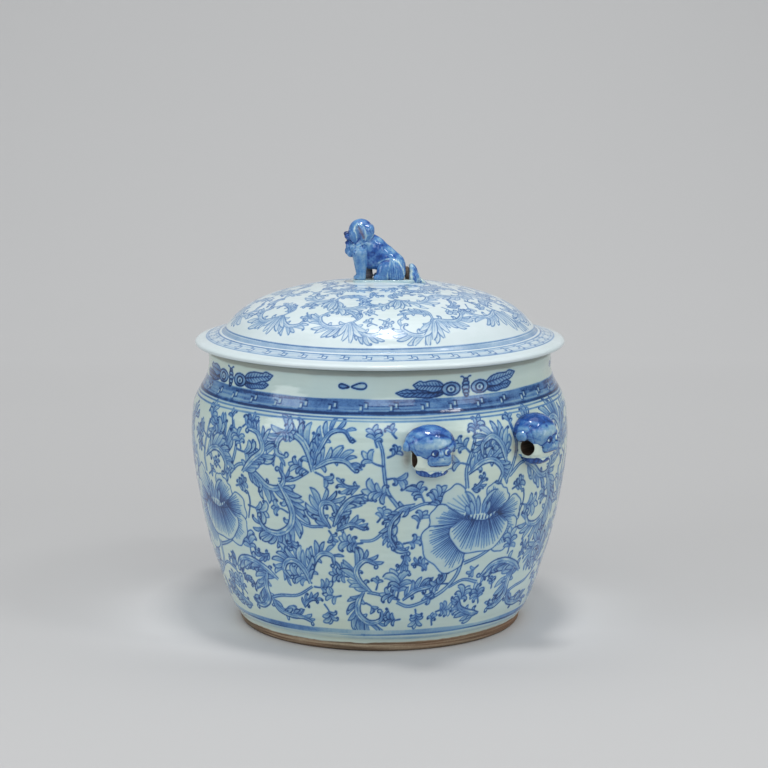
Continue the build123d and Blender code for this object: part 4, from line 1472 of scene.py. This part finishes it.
def lion_paint(co, relief):
    x, y, z = co.T
    on = part_picker(lion_parts(co.T))
    mottle = value_noise(co / 3.2, 51)
    fine = value_noise(co / 1.3, 53)
    ink = 0.16 * unit(fine)
    wash = 0.65 + 0.34 * mottle + 0.16 * fine
    stripes = x * 4.6 + z * 0.35
    for parts, tone in ((("fore", "paw"), 0.46 + 0.16 * mottle),
                        (("bib", "curls", "jaw", "muzzle"), 0.56 + 0.18 * fine),
                        (("head",), 0.64 + 0.14 * mottle),
                        (("cheek",), 0.82),
                        (("lobe", "low_lobe"), 0.58 + 0.20 * fine),
                        (("thigh", "foot"), 0.64 + 0.14 * mottle),
                        (("haunch",), 0.46 + 0.16 * np.sin(stripes))):
        wash = np.where(on(*parts), tone, wash)
    tufts = 0.55 * (np.sin(stripes + 2.4) > 0.55) * unit((221 - z) / 3)
    ink = np.where(on("haunch"), np.maximum(ink, tufts), ink)
    wash = wash + 0.14 * blob(x - 2, z - 224, 5, 2.5) - 0.12 * blob(x + 6, z - 222, 3.2, 3.0)
    for cx, cz, r in SPOTS:
        ring = 0.38 * np.exp(-((np.hypot(x - cx, z - cz) - r) / 0.45) ** 2)
        ink = np.maximum(ink, np.where(np.abs(y) > 4.5, ring, 0))
    # eye, nose and the dark front of the face
    pupil = np.where(np.hypot(x + 18.3, z - 238.5) < 0.8, 1.0, 0.0)
    ink = np.where(on("eye"), pupil, ink)
    wash = np.where(on("eye"), 0.05, wash)
    ink = np.where(on("nose"), 0.9, ink)
    ink = np.maximum(ink, 0.78 * unit((-18.2 - x) / 1.0) * unit((z - 230.2) / 0.8)
                     * unit((238 - z) / 0.8) * np.clip(0.85 + 0.5 * fine, 0.3, 1))
    # glaze runs thin on edges and along the white lines, and pools in hollows; the whites are partly
    # painted highlight and the darker hollows partly painted shade
    thin_glaze_and_highlight = unit((relief - 0.05) / 0.11)
    pool = unit(-relief / 0.10)
    wavy = (x + 0.5 * mottle, 0 * y, z)
    for parts, width, strength, points in WHITE_LINES:
        d = path_distance(wavy, [(u, 0, v) for u, v in points])
        white = (strength * np.clip(0.85 + 0.7 * fine, 0.3, 1)
                 * np.exp(-(d / (width * 0.78)) ** 2) * (np.abs(y) > 2.5))
        thin_glaze_and_highlight = np.maximum(thin_glaze_and_highlight, white * on(*parts) if parts else white)
    wash = wash * (1 - 0.93 * thin_glaze_and_highlight) + 0.3 * pool
    ink = ink * (1 - 0.85 * thin_glaze_and_highlight) + 0.9 * pool
    # bare clay in the ear slit; on the far side between the legs, bare-clay brown painted as shadow
    slit = path_distance((x, np.abs(y), z),
                         [(-12.6, 7.4, 241.0), (-11.2, 8.0, 238.0), (-9.8, 8.4, 234.8)])
    bare = 0.95 * blob(slit, 0 * x, 1.1) * (relief < 0.02)
    bare = np.maximum(bare, 0.75 * (y > 1.2) * (x < -3.4) * (x > -10.5) * unit((219 - z) / 3)
                      * on("fore", "paw", "belly", "trunk"))
    return unit(ink), np.clip(wash, 0, 1.15), unit(bare)


def tail_field(P):
    """The tail is separate: an open crack stays behind the rump."""
    x, y, z = P
    M = (x, np.abs(y), z)
    d = join(ellipsoid(P, (20.1, 0, 213.6), (3.1, 5.2, 5.2), -14),
             (capsule(P, (20.8, -1.2, 210.2), (27.2, -2.6, 207.0), 3.0, 0.8), 1.6),
             (ellipsoid(M, (20.9, 3.6, 210.2), (3.6, 2.8, 4.2), -22), 0.8))
    d = smax(d, -ellipsoid(P, (17.2, 0, 214.0), (1.6, 4.0, 4.8), -14), 0.5)
    d = np.minimum(d, ellipsoid(P, (17.0, 0.4, 211.8), (1.9, 2.8, 5.2), -6))
    for k in range(5):
        across = 0.6 + 1.35 * k
        d = press(d, M, [(0.42, 0.5, [(20.6, across * 0.8, 218.6), (23.4, across, 214.0),
                                      (24.8, across * 1.1, 209.6)])])
    for k in range(4):
        d = press(d, M, [(0.4, 0.45, [(19.4 + 1.3 * k, 6.2 - 0.4 * k, 216.0 - 1.2 * k),
                                      (20.2 + 1.6 * k, 6.6 - 0.4 * k, 211.6 - 1.2 * k),
                                      (21.0 + 1.9 * k, 6.0, 207.8)])])
    return np.maximum(d, 206.75 - z)


def tail_paint(co, relief):
    x, y, z = co.T
    wash = (0.36 + 0.18 * value_noise(co / 1.6, 61) + 0.40 * blob(x - 21.6, z - 214.5, 1.5, 3.4)
            - 0.34 * unit((x - 22.5) / 2) - 0.3 * blob(x - 19.2, z - 212, 0.8, 5))
    ink = 0.5 * (np.sin(y * 3.6 + x * 1.1) > 0.4) * unit((x - 19) / 2)
    # thin glaze on edges and pooled glaze in hollows, partly painted highlight and painted shade
    thin_glaze_and_highlight = unit((relief - 0.03) / 0.10)
    pool = unit(-relief / 0.09)
    wash = wash * (1 - 0.95 * thin_glaze_and_highlight) + 0.3 * pool
    ink = ink * (1 - 0.9 * thin_glaze_and_highlight) + 0.75 * pool
    bare = 0.95 * unit((18.3 - x) / 0.7) + 0.5 * blob(x - 17.5, z - 208, 2.2, 1.2)
    return unit(ink), np.clip(wash, 0, 1.1), unit(bare)


def plinth_field(P):
    """A slightly wavy slab with rounded corners, centred at x = 2.7."""
    half_x, half_y, corner = 19.3, 9.2, 6.0
    x, y, z = P
    qx, qy = np.abs(x - 2.7) - (half_x - corner), np.abs(y) - (half_y - corner)
    side = (np.hypot(np.maximum(qx, 0), np.maximum(qy, 0))
            + np.minimum(np.maximum(qx, qy), 0) - corner)
    wave = 0.25 * np.sin(x * 0.55 + 1.3) + 0.2 * np.sin(x * 1.3 + y * 0.8)
    face = np.abs(z - 207.6) - 1.75
    return smax(side + wave * 0.6 + 0.25, face + 0.12 * wave, 0.8)


def plinth_paint(co, relief):
    x, y, z = co.T
    mottle = value_noise(co / 2.6, 71)
    wash = 0.13 + 0.05 * mottle + 0.05 * unit((209.0 - z) / 0.5)
    ink = 0.30 * (np.abs(z - 207.0) < 0.35) * (mottle > -0.2)
    bare = (0.35 * (np.abs(x + 4) < 4.5) * (np.abs(y - 2) < 5) * (z > 209.0)
            + 0.5 * (x > 16) * (z > 208.8) * (np.abs(y) < 5))
    # darker in the hollows: pooled glaze, partly painted shade
    return unit(ink + 0.3 * unit(-relief / 0.06)), unit(wash), unit(bare)


# ---------------------------------------------------------------- materials
class Nodes:
    """A material with a principled shader, and short ways to add nodes before it."""

    def __init__(self, name):
        self.mat = bpy.data.materials.new(name)
        self.mat.use_nodes = True
        self.tree = self.mat.node_tree
        self.tree.nodes.clear()
        output = self.new("ShaderNodeOutputMaterial")
        self.bsdf = self.new("ShaderNodeBsdfPrincipled")
        self.put(output.inputs[0], self.bsdf.outputs[0])

    def new(self, kind, **settings):
        n = self.tree.nodes.new(kind)
        for k, v in settings.items():
            setattr(n, k, v)
        return n

    def put(self, socket, v):
        """Links an output to the socket, or sets its value."""
        if hasattr(v, "is_output"):
            self.tree.links.new(v, socket)
        elif v is not None:
            socket.default_value = v

    def math(self, op, a, b=None, c=None, clamp=False):
        n = self.new("ShaderNodeMath", operation=op, use_clamp=clamp)
        for socket, v in zip(n.inputs, (a, b, c)):
            self.put(socket, v)
        return n.outputs[0]

    def times(self, a, b, clamp=False):
        return self.math("MULTIPLY", a, b, clamp=clamp)

    def linear(self, value, gain, base, clamp=False):
        return self.math("MULTIPLY_ADD", value, gain, base, clamp=clamp)

    def attr(self, name):
        n = self.new("ShaderNodeAttribute", attribute_name=name, attribute_type="GEOMETRY")
        return n.outputs["Fac"]

    def noise(self, scale, detail, rough, stretch=None):
        n = self.new("ShaderNodeTexNoise")
        n.inputs["Scale"].default_value = scale
        n.inputs["Detail"].default_value = detail
        n.inputs["Roughness"].default_value = rough
        vector = self.coord
        if stretch:
            mapping = self.new("ShaderNodeMapping")
            mapping.inputs["Scale"].default_value = stretch
            self.put(mapping.inputs["Vector"], vector)
            vector = mapping.outputs[0]
        self.put(n.inputs["Vector"], vector)
        return n.outputs["Fac"]

    @cached_property
    def coord(self):
        return self.new("ShaderNodeTexCoord").outputs["Object"]

    def cells(self, scale):
        """Scattered cells: distance from the cell's point, and two random values per cell."""
        n = self.new("ShaderNodeTexVoronoi")
        n.inputs["Scale"].default_value = scale
        self.put(n.inputs["Vector"], self.coord)
        split = self.new("ShaderNodeSeparateColor")
        self.put(split.inputs[0], n.outputs["Color"])
        return n.outputs["Distance"], split.outputs[0], split.outputs[1]

    def ramp(self, fac, stops):
        n = self.new("ShaderNodeValToRGB")
        elements = n.color_ramp.elements
        while len(elements) < len(stops):
            elements.new(0.5)
        for element, (position, color) in zip(elements, stops):
            element.position = position
            element.color = (*color, 1.0)
        self.put(n.inputs[0], fac)
        return n.outputs[0]

    def mix(self, fac, a, b, mode="MIX"):
        n = self.new("ShaderNodeMix", data_type="RGBA", blend_type=mode)
        self.put(n.inputs[0], fac)
        self.put(n.inputs[6], a if hasattr(a, "is_output") else (*a, 1.0))
        self.put(n.inputs[7], b if hasattr(b, "is_output") else (*b, 1.0))
        return n.outputs[2]

    def mix_value(self, fac, a, b):
        n = self.new("ShaderNodeMix", data_type="FLOAT")
        for i, v in ((0, fac), (2, a), (3, b)):
            self.put(n.inputs[i], v)
        return n.outputs[0]

    def spread(self, noise, low, high):
        """Maps the useful range of a noise, 0.3 to 0.7, to low..high."""
        n = self.new("ShaderNodeMapRange")
        self.put(n.inputs[0], noise)
        for i, v in enumerate((0.3, 0.7, low, high), 1):
            n.inputs[i].default_value = v
        return n.outputs[0]

    def bump(self, height, strength, distance):
        n = self.new("ShaderNodeBump")
        n.inputs["Strength"].default_value = strength
        n.inputs["Distance"].default_value = distance
        self.put(n.inputs["Height"], height)
        self.put(self.bsdf.inputs["Normal"], n.outputs[0])


def srgb(*rgb):
    return tuple(v / 255.0 / 12.92 if v / 255.0 <= 0.04045
                 else ((v / 255.0 + 0.055) / 1.055) ** 2.4 for v in rgb)


def glaze(name, ground, cobalt, specks, gloss, bump, brown=0.0):
    """Blue-and-white under a clear glaze. ink, wash, bare clay and the painted shade on bare clay
    come from the surface; cobalt lists four tones from thin to dense; specks and brown set how many
    spots."""
    m = Nodes(name)
    ink, wash, bare = m.attr("ink"), m.attr("wash"), m.attr("bare")
    pool = m.noise(scale=95, detail=3, rough=0.6)
    fine = m.noise(scale=900, detail=3, rough=0.65)
    broad = m.noise(scale=13, detail=3, rough=0.5)
    # diluted cobalt gathers and thins
    w = m.times(wash, m.linear(pool, gain=1.5, base=0.25))
    w = m.times(w, m.linear(fine, gain=0.8, base=0.6))
    w = m.times(w, 1.0, clamp=True)
    k = m.times(ink, m.linear(pool, gain=0.55, base=0.62), clamp=True)
    k = m.times(k, m.linear(fine, gain=0.35, base=0.80), clamp=True)
    w = m.times(w, 0.78)
    # wash and ink together: 1 - (1 - wash) * (1 - 0.9 ink)
    clear = m.times(m.math("SUBTRACT", 1.0, w), m.math("SUBTRACT", 1.0, m.times(k, 0.90)))
    density = m.math("SUBTRACT", 1.0, clear, clamp=True)
    body = m.ramp(broad, [(0.30, ground[0]), (0.70, ground[1])])
    patches = m.spread(m.noise(scale=48, detail=4, rough=0.6), low=0.0, high=0.22)
    body = m.mix(patches, body, srgb(176, 200, 196))
    col = m.ramp(density, [(0.0, (1, 1, 1)), *zip((0.18, 0.42, 0.70, 1.0), cobalt)])
    col = m.mix(1.0, body, col, "MULTIPLY")
    # iron specks burnt in the kiln
    distance, chance, size = m.cells(scale=150)
    few = m.math("GREATER_THAN", chance, 1 - 0.035 * specks)
    size = m.linear(size, gain=0.055, base=0.02)
    dot = m.times(few, m.math("LESS_THAN", distance, size))
    col = m.mix(m.times(dot, 0.8), col, srgb(52, 40, 34))
    if brown:
        # larger soft-edged spots
        distance, chance, size = m.cells(scale=38)
        few = m.math("GREATER_THAN", chance, 1 - 0.045 * brown)
        share = m.math("DIVIDE", distance, m.linear(size, gain=0.07, base=0.035))
        near = m.math("SUBTRACT", 1.0, share, clamp=True)
        col = m.mix(m.times(m.times(few, near), 0.9, clamp=True), col, srgb(96, 66, 50))
    # bare clay, darkened by painted shade in hollows and shaded places
    grain = m.noise(scale=60, detail=5, rough=0.7, stretch=(0.25, 0.25, 9.0))
    fleck = m.noise(scale=700, detail=2, rough=0.6)
    earth = m.ramp(grain, [(0.37, srgb(60, 50, 38)), (0.5, srgb(130, 115, 94)),
                           (0.62, srgb(184, 170, 145))])
    earth = m.mix(m.spread(fleck, low=0.0, high=0.30), earth, srgb(96, 74, 56))
    rust = m.spread(m.noise(scale=16, detail=3, rough=0.5), low=0.0, high=0.5)
    earth = m.mix(rust, earth, srgb(150, 104, 72))
    earth = m.mix(m.times(m.attr("cav"), -0.85, clamp=True), earth, srgb(38, 26, 18))
    m.put(m.bsdf.inputs["Base Color"], m.mix(bare, col, earth))
    shine = m.spread(m.noise(scale=35, detail=4, rough=0.6), low=gloss * 0.75, high=gloss * 1.5)
    m.put(m.bsdf.inputs["Roughness"], m.mix_value(bare, shine, 0.72))
    m.bsdf.inputs["IOR"].default_value = 1.5
    # relief: orange peel, throwing rings and raised ink on the glaze, grain on the clay
    peel = m.noise(scale=240, detail=2, rough=0.5)
    roll = m.noise(scale=28, detail=3, rough=0.5, stretch=(0.5, 0.5, 3.2))
    glazed = m.linear(roll, gain=2.6, base=m.times(peel, 0.35))
    glazed = m.math("ADD", glazed, m.times(k, 0.10))
    rough_clay = m.linear(grain, gain=1.6, base=m.times(fleck, 1.4))
    m.bump(m.mix_value(bare, glazed, rough_clay), strength=bump, distance=0.0006)
    return m.mat


def biscuit(name):
    """Unglazed porcelain body for the hidden ring under the lid."""
    m = Nodes(name)
    cloud = m.noise(scale=45, detail=5, rough=0.65)
    grain = m.noise(scale=600, detail=3, rough=0.6)
    col = m.ramp(cloud, [(0.3, srgb(176, 164, 148)), (0.55, srgb(200, 190, 174)),
                         (0.75, srgb(214, 206, 192))])
    col = m.mix(m.spread(grain, low=0.0, high=0.3), col, srgb(140, 110, 86))
    m.put(m.bsdf.inputs["Base Color"], col)
    m.put(m.bsdf.inputs["Roughness"], m.spread(grain, low=0.55, high=0.8))
    m.bump(m.linear(grain, gain=0.6, base=cloud), strength=0.5, distance=0.0004)
    return m.mat


def paper(name):
    """Matt studio paper; its tone follows the depth and its upper sides darken: painted light and
    shade along the sweep.
    """
    m = Nodes(name)
    split = m.new("ShaderNodeSeparateXYZ")
    m.put(split.inputs[0], m.coord)
    x, y, z = split.outputs
    depth = m.linear(y, gain=0.5, base=0.5)
    tone = m.ramp(depth, [(v * 0.5 + 0.5, (t, t, t)) for v, t in PAPER_PAINTED_LIGHT])
    side = m.times(m.math("ABSOLUTE", x), 0.9)
    painted_side_shade = m.times(m.times(side, side), m.times(z, 0.9, clamp=True), clamp=True)
    tone = m.mix(painted_side_shade, tone, (0.45, 0.45, 0.45))
    # painted light lifts the paper close to the foot, easing the shadow there: a soft ring 90 mm
    # out, kept to the flanks and strongest towards -X
    r = m.math("SQRT", m.math("ADD", m.times(x, x), m.times(y, y)))
    away = m.times(m.math("SUBTRACT", r, 0.09), 16.0)
    near = m.math("POWER", 2.718, m.times(m.math("POWER", away, 2.0), -1.0))
    reach = m.math("SUBTRACT", 0.12, m.math("ABSOLUTE", y))
    flank = m.math("DIVIDE", reach, 0.08, clamp=True)
    painted_light = m.times(m.times(near, flank), m.linear(x, gain=-1.3, base=0.66, clamp=True))
    tone = m.mix(painted_light, tone, (0.86, 0.86, 0.86))
    cloud = m.spread(m.noise(scale=2.5, detail=2, rough=0.5), low=0.0, high=0.03)
    m.put(m.bsdf.inputs["Base Color"], m.mix(cloud, tone, (0.5, 0.5, 0.5)))
    m.bsdf.inputs["Roughness"].default_value = 0.95
    m.bsdf.inputs["Specular IOR Level"].default_value = 0.05
    return m.mat


def dress(ob, material):
    ob.data.materials.clear()
    ob.data.materials.append(material)


def fit(ob, material, carrier, node):
    """Gives a piece its material and tells the frame what it rides on and replaces."""
    dress(ob, material)
    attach(ob, carrier)
    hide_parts(node)


# ---------------------------------------------------------------- build
pot_glaze = glaze(
    "pot_glaze_look", ground=(srgb(205, 219, 204), srgb(191, 214, 215)),
    cobalt=(srgb(178, 206, 242), srgb(114, 157, 225), srgb(52, 92, 165), srgb(12, 28, 66)),
    specks=0.7, gloss=0.10, bump=0.5)
lid_glaze = glaze(
    "lid_glaze_look", ground=(srgb(205, 218, 220), srgb(211, 222, 227)),
    cobalt=(srgb(188, 208, 234), srgb(132, 164, 208), srgb(76, 112, 172), srgb(26, 48, 106)),
    specks=0.6, gloss=0.17, bump=0.4, brown=0.9)
cobalt_glaze = glaze(
    "cobalt_glaze_look", ground=(srgb(207, 223, 208), srgb(211, 225, 215)),
    cobalt=(srgb(190, 214, 246), srgb(110, 158, 228), srgb(46, 94, 190), srgb(8, 20, 72)),
    specks=0.3, gloss=0.08, bump=0.25)
bare_clay = biscuit("biscuit_look")

fit(bowl_mesh(paint_pot()), pot_glaze, "pot", "bowl")
fit(lid_mesh(paint_lid()), lid_glaze, "cover", "lid")
for node, lug in build_lugs():
    fit(lug, cobalt_glaze, "pot", node)
lion = clay("lion_dog", lion_field, (-24, -10.8, 208.6), (18.6, 10.8, 247), lion_paint)
tail = clay("lion_tail", tail_field, (14.8, -8.5, 206), (28.6, 8.5, 220.5), tail_paint)
slab = clay("figure_slab", plinth_field, (-17.6, -10.4, 205), (23.2, 10.4, 210.4), plinth_paint)
for piece, node in ((lion, "finial_lion"), (tail, "finial_tail"), (slab, "finial_plinth")):
    fit(piece, cobalt_glaze, "cover", node)

locating_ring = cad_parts["lid_locating_ring"]
dress(locating_ring, bare_clay)


# ---------------------------------------------------------------- studio, in metres
def sweep():
    """Pale paper: a floor that curves up into the backdrop."""
    start, depth, rise, drop_below = 0.9, 1.1, 1.1, 0.0002
    profile = [(y, 0.0) for y in [-9.0, -6.0, -4.0, -2.8, -2.2] + list(np.linspace(-1.8, start, 24))]
    for k in range(1, 15):
        a = k / 14 * math.pi / 2
        profile.append((start + depth * math.sin(a), rise * (1 - math.cos(a))))
    profile += [(2.0, 1.8), (2.0, 3.2)]
    xs = np.concatenate([[-9.0, -6.0, -4.4], np.linspace(-3.2, 3.2, 25), [4.4, 6.0, 9.0]])
    co = np.array([[x, y, z - drop_below] for y, z in profile for x in xs])
    n = len(xs)
    quads = np.array([[i * n + j, i * n + j + 1, (i + 1) * n + j + 1, (i + 1) * n + j]
                      for i in range(len(profile) - 1) for j in range(n - 1)])
    return make_mesh("paper_sweep", co, [quads])


def lamp(name, place, aim, width, height, power, shape="ELLIPSE", color=(1, 1, 1), shine=1.0):
    """An area light turned to the point at height aim on the Z axis."""
    light = bpy.data.lights.new(name, "AREA")
    light.shape = shape
    light.size = width
    light.size_y = height
    light.energy = power
    light.color = color
    light.specular_factor = shine
    ob = bpy.data.objects.new(name, light)
    bpy.context.scene.collection.objects.link(ob)
    ob.location = place
    direction = Vector((0, 0, aim)) - Vector(place)
    ob.rotation_euler = direction.to_track_quat("-Z", "Y").to_euler()


floor = sweep()
dress(floor, paper("paper_look"))

COOL = (0.98, 0.99, 1)
lamp("key", (0.06, -0.17, 1.5), aim=0.14, width=0.26, height=0.24, power=6.5)
lamp("side", (0.95, -0.55, 1.45), aim=0.14, width=0.22, height=0.3, power=2.6)
lamp("sky", (0.0, 0.15, 1.9), aim=0.1, width=1.8, height=1.4, power=9, shape="RECTANGLE")
lamp("left", (-1.4, -0.75, 0.65), aim=0.10, width=0.7, height=1.1, power=6, color=COOL, shine=0.3)
lamp("right", (1.5, -0.85, 0.6), aim=0.10, width=0.7, height=1.1, power=4.2, color=COOL, shine=0.3)
lamp("front", (0.25, -1.9, 1.25), aim=0.12, width=1.1, height=0.7, power=6.5, shape="RECTANGLE")

world = bpy.data.worlds.new("studio")
bpy.context.scene.world = world
world.use_nodes = True
background = world.node_tree.nodes["Background"]
background.inputs["Color"].default_value = (0.92, 0.94, 0.96, 1)
background.inputs["Strength"].default_value = 0.48

CAMERA_PLACE = (0, -1.396, 0.382)
CAMERA_DOWN = 9.66                      # degrees below the horizon
camera_data = bpy.data.cameras.new("camera")
camera = bpy.data.objects.new("camera", camera_data)
bpy.context.scene.collection.objects.link(camera)
camera_data.lens = 108.4
camera_data.sensor_width = 36
camera_data.shift_x = 0.0054818
camera_data.clip_start = 0.05
camera_data.clip_end = 20
camera.location = CAMERA_PLACE
camera.rotation_euler = (math.radians(90 - CAMERA_DOWN), 0, 0)
bpy.context.scene.camera = camera
bpy.context.scene.view_settings.view_transform = "Standard"
